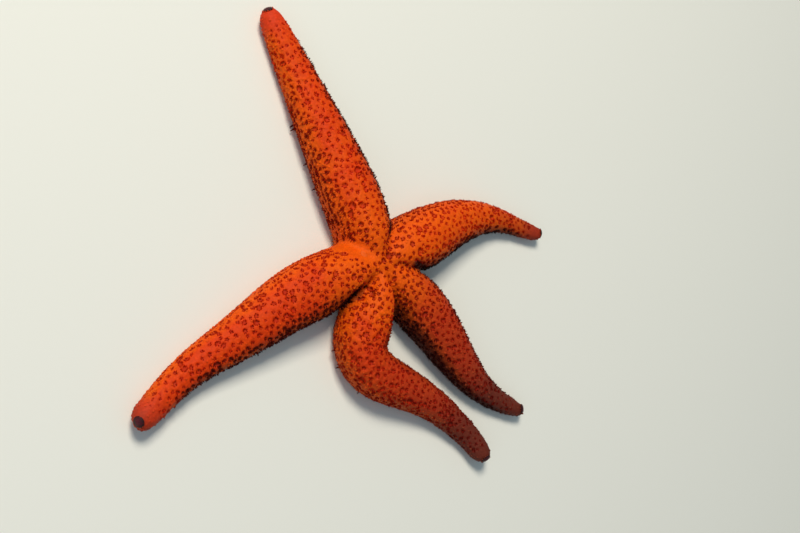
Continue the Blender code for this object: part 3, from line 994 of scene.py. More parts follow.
@dataclass(frozen=True)
class PartShape:
    """The outline of a small soft part: how thick it is at shares of its height."""

    name: str
    outline: tuple[Span, ...]
    sides: int
    rings: int
    lean: float

    def tree(self) -> Tree:
        """A tree that stands one such part on every point.

        The points carry the attributes facing, girth, length and unwrap.

        Returns:
            The geometry tree.
        """
        tree, group = new_tree(self.name, {
            "Sides": ("NodeSocketInt", self.sides),
            "Rings": ("NodeSocketInt", self.rings),
            "Lean": ("NodeSocketFloat", self.lean),
            "Patch": ("NodeSocketFloat", 0.003),
            "Seed": ("NodeSocketInt", 1),
            "Material": ("NodeSocketMaterial", None),
        })
        inside = group.outputs
        add = partial(add_node, tree)
        rod = add("GeometryNodeMeshCylinder",
                  {"Vertices": inside["Sides"], "Side Segments": inside["Rings"], "Radius": 1.0,
                   "Depth": 1.0}, fill_type="NGON")
        corner = add("ShaderNodeSeparateXYZ", {0: add("GeometryNodeInputPosition")})
        rise = add("ShaderNodeMath", {0: corner.outputs["Z"], 1: 0.5}, operation="ADD")
        inwards = add("ShaderNodeMapRange", {"Value": rise, "To Min": 0.5, "To Max": 0.1})
        flat = add("ShaderNodeCombineXYZ", {"X": corner.outputs["X"], "Y": corner.outputs["Y"]})
        thick = add("ShaderNodeFloatCurve", {"Value": rise})
        line = thick.mapping.curves[0]
        for place, point in zip(self.outline, line.points):
            point.location = place
        for place in self.outline[len(line.points):]:
            line.points.new(*place)
        thick.mapping.update()
        spread, wide = (add("ShaderNodeVectorMath", {0: flat, "Scale": scale}, operation="SCALE")
                        for scale in (inwards, thick))
        bend = add("ShaderNodeMath", {0: rise, 1: 2.0}, operation="POWER")
        leaning = add("ShaderNodeMath", {0: bend, 1: inside["Lean"]}, operation="MULTIPLY")
        upright = add("ShaderNodeCombineXYZ", {"X": leaning, "Z": rise})
        shaped = add("ShaderNodeVectorMath", {0: wide, 1: upright}, operation="ADD")
        rod = store(tree, rod, Mark.RISE.value, rise)
        rod = store(tree, rod, "spread", spread, "FLOAT_VECTOR")
        rod = add("GeometryNodeSetPosition", {"Geometry": rod, "Position": shaped})

        facing = add("FunctionNodeAlignRotationToVector",
                     {"Vector": named(tree, "facing", "FLOAT_VECTOR")}, axis="Z")
        angle = add("FunctionNodeRandomValue", {3: 2 * math.pi, "Seed": inside["Seed"]},
                    data_type="FLOAT").outputs[1]
        spin = add("FunctionNodeAxisAngleToRotation", {"Axis": (0.0, 0.0, 1.0), "Angle": angle})
        turned = add("FunctionNodeRotateRotation", {"Rotation": facing, "Rotate By": spin},
                     rotation_space="LOCAL")
        girth = named(tree, "girth")
        size = add("ShaderNodeCombineXYZ", {"X": girth, "Y": girth, "Z": named(tree, "length")})
        stood = add("GeometryNodeInstanceOnPoints",
                    {"Points": inside["Geometry"], "Instance": rod, "Rotation": turned, "Scale": size})
        real = add("GeometryNodeRealizeInstances", {"Geometry": stood})
        patch = add("ShaderNodeVectorMath",
                    {0: named(tree, "spread", "FLOAT_VECTOR"), "Scale": inside["Patch"]},
                    operation="SCALE")
        unwrapped = add("ShaderNodeVectorMath",
                        {0: named(tree, "unwrap", "FLOAT_VECTOR"), 1: patch}, operation="ADD")
        real = store(tree, real, BAKE_MAP, unwrapped, "FLOAT2", "CORNER")
        dressed = add("GeometryNodeSetMaterial", {"Geometry": real, "Material": inside["Material"]})
        add("NodeGroupOutput", {"Geometry": dressed})
        return tree


PAPULA = PartShape("gill_finger", ((0.0, 1.0), (0.5, 0.95), (1.0, 0.5)), 5, 2, 0.35)
SPINELET = PartShape("spinelet", ((0.0, 2.0), (0.34, 1.2), (0.67, 0.75), (1.0, 0.28)), 6, 3, 0.15)
SPINE = PartShape("groove_spine", ((0.0, 0.9), (0.5, 1.0), (0.85, 0.8), (1.0, 0.4)), 6, 3, 0.25)
TUBE_FOOT = PartShape("tube_foot", ((0.0, 0.85), (0.6, 0.62), (0.85, 0.72), (0.95, 1.0), (1.0, 0.85)),
                      10, 8, 0.15)


def scatter_tree(shape: PartShape) -> Tree:
    """A tree that spreads parts evenly over one arm's share of the skin, on the net only.

    Args:
        shape: the part that stands on each point.

    Returns:
        The geometry tree.
    """
    tree, group = new_tree(shape.name + "_scatter", {
        "Skin": ("NodeSocketObject", None),
        "Arm": ("NodeSocketInt", 0),
        "Spacing": ("NodeSocketFloat", 1.1 * MM),
        "Girth": ("NodeSocketFloat", 0.2 * MM),
        "Length": ("NodeSocketFloat", 0.3 * MM),
        "Seed": ("NodeSocketInt", 1),
        "Material": ("NodeSocketMaterial", None),
    })
    inside = group.outputs
    add = partial(add_node, tree)
    skin = add("GeometryNodeObjectInfo", {"Object": inside["Skin"]}).outputs["Geometry"]
    mine = add("FunctionNodeCompare", {2: named(tree, "sector", "INT"), 3: inside["Arm"]},
               data_type="INT", operation="EQUAL")
    crowd = add("ShaderNodeMath", {0: inside["Spacing"], 1: -2.0}, operation="POWER")
    most = add("ShaderNodeMath", {0: crowd, 1: 4.0}, operation="MULTIPLY")
    thrown = add("GeometryNodeDistributePointsOnFaces",
                 {"Mesh": skin, "Selection": mine, "Distance Min": inside["Spacing"],
                  "Density Max": most, "Density Factor": named(tree, "spine_room"),
                  "Seed": inside["Seed"]}, distribute_method="POISSON")
    points = store(tree, thrown, "facing", thrown.outputs["Normal"], "FLOAT_VECTOR")
    for name, low, high in (("girth", 0.8, 1.25), ("length", 0.6, 1.3)):
        varied = add("FunctionNodeRandomValue", {2: low, 3: high, "Seed": inside["Seed"]},
                     data_type="FLOAT").outputs[1]
        value = add("ShaderNodeMath", {0: inside[name.capitalize()], 1: varied}, operation="MULTIPLY")
        points = store(tree, points, name, value)
    stood = add("GeometryNodeGroup", node_tree=shape.tree())
    for name, socket in (("Geometry", points.outputs[0]), ("Seed", inside["Seed"]),
                         ("Material", inside["Material"])):
        tree.links.new(socket, stood.inputs[name])
    add("NodeGroupOutput", {"Geometry": stood})
    return tree


# ------ pits and the skin's relief


@dataclass(frozen=True)
class PitRule:
    """How the pits change round an arm, from its ridge (0 degrees) to its sole (180)."""

    turns: tuple[float, ...] = (0, 35, 60, 85, 115, 140)
    spacing: tuple[float, ...] = mm(1.90, 1.85, 1.70, 1.58, 1.55, 2.2)
    long: tuple[float, ...] = mm(0.68, 0.74, 0.90, 1.05, 0.92, 0.55)
    short: tuple[float, ...] = mm(0.53, 0.56, 0.48, 0.41, 0.38, 0.36)
    rosettes: tuple[float, ...] = (0.28, 0.30, 0.15, 0.0, 0.0, 0.0)  # share of large pits
    rosette_size: float = 1.5     # their size, and the room they need, against the others
    rosette_room: float = 1.25
    first_row: float = 47         # from this turn on, the pits stand in rows along the arm
    row_step: float = 11.5
    row_half_width: float = 2.4
    row_wave: float = 2.5
    row_wave_length: float = 17 * MM
    last_turn: float = 128
    tip_gap: float = 7.5 * MM     # no pits this close to a tip
    tip_fade: float = 22 * MM     # they shrink from here on
    fold_spacing: float = 1.2 * MM
    throws: float = 2.4e6         # candidate points for each square metre
    size_spread: float = 0.16
    tip_size: float = 0.62        # their size at the tips, against the rest
    swing: float = 0.25           # radians that they swing out of line on the flanks,
    loose_swing: float = 1.2      # and this much more where the back is reached,
    loose_turns: Span = (85, 30)  # between these turns
    heart_from: Span = mm(0.42, 0.6)  # half widths between which a lighter middle comes in
    heart_strength: float = 0.6

    def at(self, turn: Array, values: tuple[float, ...]) -> Array:
        """Read one of the rule's rows at some turns."""
        return np.interp(turn, self.turns, values)

    def in_row(self, turn: Array, along: Array) -> Array:
        """Whether pits may lie at some turns: anywhere on the back, and in wavy rows below it.

        Args:
            turn: degrees from the ridge.
            along: distances along the arm.

        Returns:
            True where a pit may lie.
        """
        wave = self.row_wave * np.sin(along / self.row_wave_length * 2 * math.pi)
        off = (turn + wave - self.first_row + self.row_step / 2) % self.row_step - self.row_step / 2
        return (turn < self.first_row - self.row_step / 2) | (np.abs(off) < self.row_half_width)


def throw_points(mesh: Mesh, density: float, rng: np.random.Generator) -> tuple[Array, Array]:
    """Throw points evenly over a mesh.

    Args:
        mesh: the surface.
        density: points for each square metre.
        rng: the source of chance.

    Returns:
        The points and the surface's normals there, both n by 3.
    """
    mesh.calc_loop_triangles()
    corners = read_all(mesh.loop_triangles, "vertices", 3, np.int32)
    points, normals = mesh_points(mesh), mesh_normals(mesh)
    a, b, c = (points[corners[:, i]] for i in range(3))
    areas = np.linalg.norm(np.cross(b - a, c - a), axis=1) / 2
    count = int(areas.sum() * density)
    picked = rng.choice(len(corners), count, p=areas / areas.sum())
    u, v = rng.random((2, count, 1))
    over = u + v > 1
    u, v = np.where(over, 1 - u, u), np.where(over, 1 - v, v)
    thrown = a[picked] + u * (b - a)[picked] + v * (c - a)[picked]
    facing = normals[corners[picked]].mean(1)
    return thrown, facing / np.linalg.norm(facing, axis=1)[:, None]


def keep_apart(points: Array, spacing: Array) -> Array:
    """Take points in turn and keep each that has its own spacing free around it.

    Args:
        points: n by 3 candidates.
        spacing: the room that each needs.

    Returns:
        The numbers of the points kept.
    """
    kept_points = np.zeros_like(points)
    kept: list[int] = []
    for i, (point, room) in enumerate(zip(points, spacing)):
        gap = kept_points[:len(kept)] - point
        if len(kept) == 0 or (gap * gap).sum(1).min() > room * room:
            kept_points[len(kept)] = point
            kept.append(i)
    return np.array(kept)


def bare_share(places: Places) -> Array:
    """How deep points lie in a bare patch: over 1 outside, 0 in its middle."""
    reach = np.full(len(places.along), np.inf)
    for patch in BARE_PATCHES:
        (cos, sin), gap = on_floor(1.0, patch.turn), places.flat - on_floor(patch.radius, patch.heading)
        ahead = (gap[:, 0] * cos + gap[:, 1] * sin) / (patch.length / 2)
        aside = (gap[:, 1] * cos - gap[:, 0] * sin) / (patch.width / 2)
        reach = np.minimum(reach, np.where(np.abs(places.turn) < math.radians(100),
                                           np.hypot(ahead, aside), np.inf))
    return reach


def unwrap_place(places: Places, strips: int = 1) -> Array:
    """A place on the unrolled skin of each point's arm: along it, and round it.

    Args:
        places: where the points lie.
        strips: the number of arms that share the map, each on its own strip of it.

    Returns:
        n by 3, the third number being 0.
    """
    lengths = np.array([arm.length for arm in ARMS])[places.arm]
    margin = 0.02  # round each strip
    along = margin + (1 - 2 * margin) * np.clip(places.along / lengths, 0, 1)
    around = margin + (1 - 2 * margin) * (places.turn / (2 * math.pi) + 0.5)
    if strips > 1:
        around = (around + places.arm) / strips
    return np.stack([along, around, np.zeros(len(along))], 1)


@dataclass
class PittedSkin:
    """The skin with its pits sunk and its markings stored."""

    skin: Skin
    rule: PitRule = PitRule()
    # Where the spinelets have room: down to this turn, out of the dark creases, few on the backs.
    spine_end: Span = (118, 108)
    spine_crease: Span = (0.35, 0.8)
    spine_flank: Span = (35, 75)
    spine_back: float = 0.2
    spine_bare: Span = (0.9, 1.3)  # and outside the bare patches
    seed: int = 11

    def __post_init__(self) -> None:
        """Place the pits, then build and dress the relief."""
        self.pits = self._place_pits()
        self.surface = self._sink_pits()

    def _place_pits(self) -> Pits:
        """Throw the pits over the skin, close together on the flanks and wide apart on the back."""
        rule, rng = self.rule, np.random.default_rng(self.seed)
        points, normals = throw_points(self.skin.piece.data, rule.throws, rng)
        places = self.skin.plan.locate(points)
        turn = places.degrees()
        fold = self.skin.markings.fold(places)
        full = smoothstep(rule.tip_gap, rule.tip_fade, places.to_tip)
        shrink = rule.tip_size + (1 - rule.tip_size) * full
        spacing = rule.at(turn, rule.spacing) * (0.5 + 0.5 * shrink)
        spacing = spacing + (rule.fold_spacing - spacing) * fold
        large = rng.random(len(turn)) < rule.at(turn, rule.rosettes) * (fold < 0.2)
        spacing = spacing * np.where(large, rule.rosette_room, 1.0)
        free = ((turn < rule.last_turn) & rule.in_row(turn, places.along)
                & (places.to_tip > rule.tip_gap) & (bare_share(places) > 1))
        chosen = np.flatnonzero(free)
        kept = chosen[keep_apart(points[chosen], spacing[chosen])]
        places, turn, shrink, large = places.pick(kept), turn[kept], shrink[kept], large[kept]
        points, normals = points[kept], normals[kept]

        headings = np.array([self.skin.plan.heading(a, d) for a, d in zip(places.arm, places.along)])
        forwards = np.stack([np.cos(headings), np.sin(headings), np.zeros(len(headings))], 1)
        around = np.cross(normals, forwards)
        around /= np.linalg.norm(around, axis=1)[:, None]
        onwards = np.cross(around, normals)
        loose = rule.swing + rule.loose_swing * smoothstep(*rule.loose_turns, turn)
        swing = rng.normal(0, 1, len(turn)) * loose
        lie = onwards * np.cos(swing)[:, None] + around * np.sin(swing)[:, None]
        size = shrink * np.exp(rng.normal(0, rule.size_spread, len(turn)))
        size *= np.where(large, rule.rosette_size, 1.0)
        return Pits(points, lie, normals, rule.at(turn, rule.long) * size, rule.at(turn, rule.short) * size,
                    places.arm, turn, places.turn > 0)

    def _sink_pits(self) -> BVHTree:
        """Run the relief tree over the skin, store the markings and give back the new surface."""
        pits = self.pits
        mesh = bpy.data.meshes.new("pits")
        mesh.from_pydata(pits.points.tolist(), [], [])
        for name in ("lie", "long", "short"):
            write_attribute(mesh, name, getattr(pits, name))
        heart = smoothstep(*self.rule.heart_from, pits.short) * self.rule.heart_strength
        write_attribute(mesh, "heart_size", heart)
        guide = new_piece("pits", mesh)

        piece = self.skin.piece
        body = piece.data
        places = self.skin.places
        for mark, values in self.skin.markings.of(places).items():
            write_attribute(body, mark.value, values)
        write_attribute(body, "unwrap", unwrap_place(places))
        first = read_all(body.polygons, "loop_start", kind=np.int32)
        corner = read_all(body.loops, "vertex_index", kind=np.int32)
        sectors = body.attributes.new("sector", "INT", "FACE")
        sectors.data.foreach_set("value", places.arm[corner[first]].astype(np.int32))
        add_tree(piece, pitted_net_tree(), {"Pits": guide})
        apply_modifiers(piece)
        bpy.data.objects.remove(guide)

        body, turn, bare = piece.data, places.degrees(), bare_share(places)
        fold = read_attribute(body, Mark.FOLD.value)
        room = read_attribute(body, "net") * smoothstep(*self.spine_end, turn)
        room *= 1 - smoothstep(*self.spine_crease, fold)
        flank = self.spine_back + (1 - self.spine_back) * smoothstep(*self.spine_flank, turn)
        room *= flank * smoothstep(*self.spine_bare, bare)
        markings = self.skin.markings
        # Painted shade: the creases, the pits on shaded flanks and in the far ends, and the skin low on
        # shaded flanks.
        dark = read_attribute(body, Mark.PIT.value) * markings.pit_shade(places)
        drop_attributes(body, [Mark.FOLD.value])
        write_attribute(body, Mark.FOLD.value, np.maximum.reduce([fold, dark, markings.edge(places)]))
        write_attribute(body, "spine_room", room)
        smooth_faces(body)
        bpy.context.view_layer.update()
        return BVHTree.FromObject(piece, bpy.context.evaluated_depsgraph_get())

    def roots(self, spots: Array, facing: Array, girth: Array, length: Array, strips: int = 1) -> "Roots":
        """Roots that carry the skin's own markings, their parts kept clear of the floor.

        Args:
            spots: where the parts stand, n by 3.
            facing: the ways that they face, n by 3.
            girth: their widths.
            length: their lengths.
            strips: the number of arms that share their bake map.

        Returns:
            The roots.
        """
        places = self.skin.plan.locate(spots)
        return Roots(spots, facing, girth, length, unwrap_place(places, strips),
                     self.skin.markings.of(places)).above_floor()

    def roof(self, place: Vector) -> Vector | None:
        """The skin's underside over a place on the floor, if there is any."""
        return self.surface.ray_cast(place - Vector((0, 0, MM)), Vector((0, 0, 1)))[0]

    def dress(self, material: Finish) -> Piece:
        """Give the skin its finish and set it in the frame."""
        piece = self.skin.piece
        drop_attributes(piece.data, GUIDE_ATTRIBUTES)
        piece.data.materials.clear()
        piece.data.materials.append(material)
        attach(piece, BODY)
        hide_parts(*self.skin.flesh_nodes())
        return piece


# ------ the coat


ROOT_ATTRIBUTES = ("facing", "girth", "length", "unwrap")
GUIDE_ATTRIBUTES = (*ROOT_ATTRIBUTES, "spread", "net", "spine_room", "sector")
GOLDEN_TURN = math.pi * (3 - math.sqrt(5))  # between neighbours in a flower head


@dataclass
class Roots:
    """The points that small parts stand on, and what each part is like."""

    points: Array
    facing: Array
    girth: Array
    length: Array
    unwrap: Array
    marks: dict[Mark, Array]

    def pick(self, index: Array) -> "Roots":
        """Some of the roots."""
        return Roots(*(getattr(self, name)[index] for name in ("points", *ROOT_ATTRIBUTES)),
                     {mark: values[index] for mark, values in self.marks.items()})

    def above_floor(self, clearance: float = 0.04 * MM) -> "Roots":
        """The same roots, their parts shortened where they would reach through the floor."""
        drop = np.maximum(-self.facing[:, 2], 1e-6)
        shortest = 0.05 * MM
        room = np.maximum(self.points[:, 2] - clearance, shortest) / drop
        return replace(self, length=np.minimum(self.length, room))


def stand_parts(name: str, shape: PartShape, roots: Roots, material: Finish, seed: int) -> Piece:
    """Stand a part on every root and join them in one piece.

    Args:
        name: the piece's name.
        shape: the part.
        roots: where the parts stand.
        material: their finish.
        seed: settles how each part is turned.

    Returns:
        The piece, at the origin, with its bake map.
    """
    mesh = bpy.data.meshes.new(name)
    mesh.from_pydata(roots.points.tolist(), [], [])
    for label in ROOT_ATTRIBUTES:
        write_attribute(mesh, label, getattr(roots, label))
    for mark, values in roots.marks.items():
        write_attribute(mesh, mark.value, values)
    piece = new_piece(name, mesh)
    add_tree(piece, shape.tree(), {"Seed": seed, "Material": material})
    return finish_coat(piece)


def finish_coat(piece: Piece) -> Piece:
    """Make a coat piece a plain, smooth mesh, with only the attributes that its finish reads."""
    apply_modifiers(piece)
    drop_attributes(piece.data, GUIDE_ATTRIBUTES)
    smooth_faces(piece.data)
    return piece


def join_roots(several: Sequence[Roots]) -> Roots:
    """One set of roots made of several."""
    marks = {mark: np.concatenate([r.marks[mark] for r in several]) for mark in several[0].marks}
    return Roots(*(np.concatenate([getattr(r, name) for r in several])
                   for name in ("points", *ROOT_ATTRIBUTES)), marks)


@dataclass
class Papulae:
    """The gill fingers: a tuft of soft dark fingers in every pit."""

    coat: PittedSkin
    girth: float = 0.16 * MM
    length: float = 0.46 * MM
    flank_length: float = 0.72 * MM
    spacing: float = 0.36 * MM     # between the fingers of a tuft
    long_factor: float = 3.0       # how much longer and thicker some fingers are
    long_girth: float = 1.9
    long_share: float = 0.045      # the share of them, in these stretches:
    long_stretches: tuple[tuple[int, int, float, float], ...] = (  # arm, side (1 is left), from, to
        (0, 1, 24 * MM, 58 * MM), (2, -1, 26 * MM, 44 * MM))
    # How long the fingers are on each arm's left and right flank, against the rest.
    side_lengths: PerFlank = ((0.85, 1.1), (1.0, 0.5), (0.8, 0.7), (0.9, 1.0), (0.8, 1.0))
    silhouette: Span = (104, 127)  # the turns between which the long ones stand
    spread: float = 0.88           # how much of the pit the tuft fills
    large: float = 0.62 * MM       # pits whose half width is over this are
    clear: float = 0.32            # bare in their middles, by this share
    rooted: float = 0.12 * MM      # how deep the fingers start
    splay: float = 0.4             # how far they lean outwards at the pit's rim
    lean_spread: float = 0.15
    size_spread: float = 0.15
    flank_turns: Span = (36, 66)   # the flanks' lengths come in between these turns
    usual_pit: float = 0.38 * MM   # the half width of a pit whose fingers have the usual size
    pit_sizes: Span = (0.7, 1.15)  # and how much it may differ in others
    count_spread: Span = (-1.5, 0.5)
    angle_spread: float = 0.25
    long_darkness: float = 0.8
    seed: int = 21

    def build(self, material: Finish) -> list[Piece]:
        """Make the fingers of each arm as one piece.

        Args:
            material: the fingers' finish.

        Returns:
            The pieces.
        """
        roots, arms = self._roots()
        return [stand_parts(f"papulae_{k + 1}", PAPULA, roots.pick(np.flatnonzero(arms == k)), material,
                            self.seed + k) for k in range(len(ARMS))]

    def _roots(self) -> tuple[Roots, Array]:
        """Set the fingers in tufts, like seeds in a flower head, and press their roots on the skin."""
        rng = np.random.default_rng(self.seed)
        pits = self.coat.pits
        across = np.cross(pits.normals, pits.lie)
        points, facing, owner = [], [], []
        for i in range(len(pits.long)):
            area = math.pi * pits.long[i] * pits.short[i] * self.spread ** 2
            count = max(2, round(area / self.spacing ** 2 + rng.uniform(*self.count_spread)))
            start = rng.uniform(0, 2 * math.pi)
            inner = self.clear if pits.short[i] > self.large else 0.0
            for j in range(count):
                angle = start + GOLDEN_TURN * j + rng.normal(0, self.angle_spread)
                reach = self.spread * math.sqrt(inner + (1 - inner) * (j + 0.5) / count)
                offset = (pits.lie[i] * math.cos(angle) * pits.long[i]
                          + across[i] * math.sin(angle) * pits.short[i]) * reach
                points.append(self.coat.surface.find_nearest(Vector(pits.points[i] + offset))[0])
                splay = offset / pits.long[i] * self.splay
                way = pits.normals[i] + splay + rng.normal(0, self.lean_spread, 3)
                facing.append(way / np.linalg.norm(way))
                owner.append(i)
        owner = np.array(owner)
        facing = np.array(facing)
        size = np.exp(rng.normal(0, self.size_spread, len(owner)))
        small = np.clip(pits.short[owner] / self.usual_pit, *self.pit_sizes)
        flank = smoothstep(*self.flank_turns, pits.turn[owner])
        sided = np.where(pits.on_left[owner], *np.array(self.side_lengths).T[:, pits.arm[owner]])
        length = self.length + (self.flank_length * sided - self.length) * flank
        roots = np.array(points) - facing * self.rooted
        places = self.coat.skin.plan.locate(roots)
        low, high = np.radians(self.silhouette)
        reach = np.zeros(len(owner), bool)
        for arm, side, start, stop in self.long_stretches:
            turn = places.turn * side
            reach |= ((places.arm == arm) & (turn > low) & (turn < high)
                      & (places.along > start) & (places.along < stop))
        far = reach & (rng.random(len(owner)) < self.long_share)
        length = length * size * small * np.where(far, self.long_factor, 1.0)
        girth = self.girth * size * small ** 0.5 * np.where(far, self.long_girth, 1.0)
        markings = self.coat.skin.markings
        # Painted shade of the creases and of shaded pits, and the long fingers' own darker colour.
        dark = np.maximum(markings.fold(places), markings.pit_shade(places))
        marks = {Mark.FOLD: np.maximum(dark, self.long_darkness * far)}
        roots = Roots(roots, facing, girth, length, unwrap_place(places), marks)
        return roots.above_floor(), pits.arm[owner]


@dataclass
class Spinelets:
    """The small blunt spines on the net, sheathed in the skin itself."""

    coat: PittedSkin
    spacing: float = 1.10 * MM
    girth: float = 0.40 * MM
    length: float = 0.22 * MM
    seed: int = 31

    def build(self, material: Finish) -> list[Piece]:
        """Make each arm's spinelets as one piece.

        Args:
            material: the skin's finish.

        Returns:
            The pieces.
        """
        tree = scatter_tree(SPINELET)
        pieces = []
        for k in range(len(ARMS)):
            piece = new_piece(f"spinelets_{k + 1}", bpy.data.meshes.new(f"spinelets_{k + 1}"))
            add_tree(piece, tree, {"Skin": self.coat.skin.piece, "Arm": k, "Spacing": self.spacing,
                                   "Girth": self.girth, "Length": self.length,
                                   "Seed": self.seed + k, "Material": material})
            pieces.append(finish_coat(piece))
        return pieces


@dataclass
class Underside:
    """What the grooves and soles carry: tube feet, groove spines and sole granules."""

    coat: PittedSkin
    foot_spacing: float = 1.55 * MM
    foot_side: float = 0.72 * MM
    foot_girth: float = 0.42 * MM
    foot_length: float = 5 * MM      # cut short by the floor
    foot_end: float = 3.5 * MM       # how far from the tip the tube feet end
    foot_lean: float = 0.12          # how far they lean towards the axis, against their height
    first: float = 6.5 * MM          # where the rows start, from the middle of the disc
    spine_spacing: float = 1.05 * MM
    spine_side: float = 0.13         # of the arm's width, where the groove's lips are
    spine_girth: float = 0.24 * MM
    spine_length: float = 1.0 * MM
    spine_end: float = 3 * MM
    spine_lean: float = 0.5
    granule_density: float = 1.5e6   # candidate places for each square metre
    granule_spacing: float = 1.0 * MM
    granule_girth: float = 0.24 * MM
    granule_length: float = 0.38 * MM
    granule_turn: float = 113        # degrees from the ridge at which they start
    groove_half: float = 0.19        # of the arm's width, kept bare on either side of the axis
    highest: float = 6 * MM          # no part stands where the skin is higher than this
    lean_spread: float = 0.06
    size_spread: float = 0.1
    seed: int = 41

    def _rows(self, arm: int, reach: Callable[[float], float], spacing: float, stagger: float,
              end_gap: float, inwards: float) -> tuple[Array, Array]:
        """Places in a row on either side of the groove.

        Args:
            arm: the arm's number.
            reach: gives the distance from the axis at each distance along it.
            spacing: the step along the arm.
            stagger: how much further out the left row starts.
            end_gap: how far from the tip the rows end.
            inwards: how far the parts lean towards the axis, as a share of their height.

        Returns:
            The places and the ways that the parts face, both n by 3.
        """
        plan = self.coat.skin.plan
        points, facing = [], []
        for side in (-1, 1):
            start = self.first + (stagger if side > 0 else 0.0)
            for along in np.arange(start, ARMS[arm].length - end_gap, spacing):
                out = plan.outwards(arm, along)
                left = Vector((-out.y, out.x, 0.0))
                hit = self.coat.roof(plan.axis_place(arm, along) + left * (side * reach(along)))
                if hit is not None and hit.z <= self.highest:
                    points.append(hit)
                    facing.append((Vector((0.0, 0.0, -1.0)) - left * (side * inwards)).normalized())
        return np.array(points), np.array(facing)

    def _varied(self, spots: Array, ways: Array, girth: float, length: float,
                rng: np.random.Generator) -> Roots:
        """Turn places into roots with some spread in lean and size.

        Args:
            spots: the places.
            ways: the ways that the parts face.
            girth: their usual width.
            length: their usual length.
            rng: the source of chance.

        Returns:
            The roots.
        """
        ways = ways + rng.normal(0, self.lean_spread, ways.shape)
        ways /= np.linalg.norm(ways, axis=1)[:, None]
        size = np.exp(rng.normal(0, self.size_spread, len(spots)))
        return self.coat.roots(spots, ways, girth * size, length * size)

    def build(self, flesh: Finish, skin: Finish) -> list[Piece]:
        """Make the tube feet, groove spines and granules of each arm.

        Args:
            flesh: the tube feet's finish.
            skin: the finish of the spines and granules.

        Returns:
            The pieces, three for each arm.
        """
        rng = np.random.default_rng(self.seed)
        granules = self._granules(rng)
        sole_arms = self.coat.skin.plan.locate(granules.points).arm
        pieces = []
        for k, arm in enumerate(ARMS):
            stations = np.linspace(0, arm.length, 200)
            widths = arm.width(stations)
            feet = self._rows(k, lambda _: self.foot_side, self.foot_spacing, self.foot_spacing / 2,
                              self.foot_end, self.foot_lean)
            lips = self._rows(k, lambda d: self.spine_side * np.interp(d, stations, widths),
                              self.spine_spacing, 0.0, self.spine_end, self.spine_lean)
            for name, shape, roots, finish in (
                    ("tube_feet", TUBE_FOOT,
                     self._varied(*feet, self.foot_girth, self.foot_length, rng), flesh),
                    ("groove_spines", SPINE,
                     self._varied(*lips, self.spine_girth, self.spine_length, rng), skin),
                    ("sole_granules", SPINELET, granules.pick(np.flatnonzero(sole_arms == k)), skin)):
                pieces.append(stand_parts(f"{name}_{k + 1}", shape, roots, finish, self.seed + k))
        return pieces

    def _granules(self, rng: np.random.Generator) -> Roots:
        """Blunt granules over the soles, clear of the grooves."""
        points, normals = throw_points(self.coat.skin.piece.data, self.granule_density, rng)
        places = self.coat.skin.plan.locate(points)
        free = ((places.degrees() > self.granule_turn) & (places.to_tip > 2 * MM)
                & (np.abs(places.side) > self.groove_half * places.width))
        chosen = np.flatnonzero(free)
        kept = chosen[keep_apart(points[chosen], np.full(len(chosen), self.granule_spacing))]
        return self._varied(points[kept], normals[kept], self.granule_girth, self.granule_length, rng)


# ------ eyespots, plate and mouth


def frame_on(spot: Vector, way: Vector) -> Matrix:
    """The frame at a spot whose +Z points the given way."""
    return Matrix.Translation(spot) @ way.to_track_quat("Z", "Y").to_matrix().to_4x4()


def polar_piece(name: str, place: Matrix, radius: float, grid: tuple[int, int], height: Relief,
                rise: Relief, material: Finish) -> Piece:
    """A round cap on a polar grid, closed below by a flat base.

    Args:
        name: the piece's name.
        place: the cap's frame, its +Z out of the body.
        radius: the cap's radius.
        grid: the number of rings, and of points on each ring.
        height: gives the height over the base at a radius and an angle.
        rise: gives the strength of the rise marking there.
        material: the cap's finish.

    Returns:
        The piece, its mesh in the row frame.
    """
    shape = bmesh.new()
    rings, sides = grid
    top = shape.verts.new((0.0, 0.0, height(0.0, 0.0)))
    loops = []
    for ring in range(1, rings + 1):
        reach = radius * ring / rings
        angles = [2 * math.pi * i / sides for i in range(sides)]
        loops.append([shape.verts.new((reach * math.cos(a), reach * math.sin(a), height(reach, a)))
                      for a in angles])
    base = shape.verts.new((0.0, 0.0, height(reach, 0.0)))
    for i in range(sides):
        j = (i + 1) % sides
        shape.faces.new((top, loops[0][i], loops[0][j]))
        for inner, outer in zip(loops, loops[1:]):
            shape.faces.new((inner[i], outer[i], outer[j], inner[j]))
        shape.faces.new((base, loops[-1][j], loops[-1][i]))
    shape.transform(place)
    mesh = bpy.data.meshes.new(name)
    shape.to_mesh(mesh)
    shape.free()
    smooth_faces(mesh)
    back = place.inverted()
    local = [back @ vert.co for vert in mesh.vertices]
    write_attribute(mesh, Mark.RISE.value,
                    np.array([rise(math.hypot(p.x, p.y), math.atan2(p.y, p.x)) for p in local]))
    mesh.materials.append(material)
    return new_piece(name, mesh)


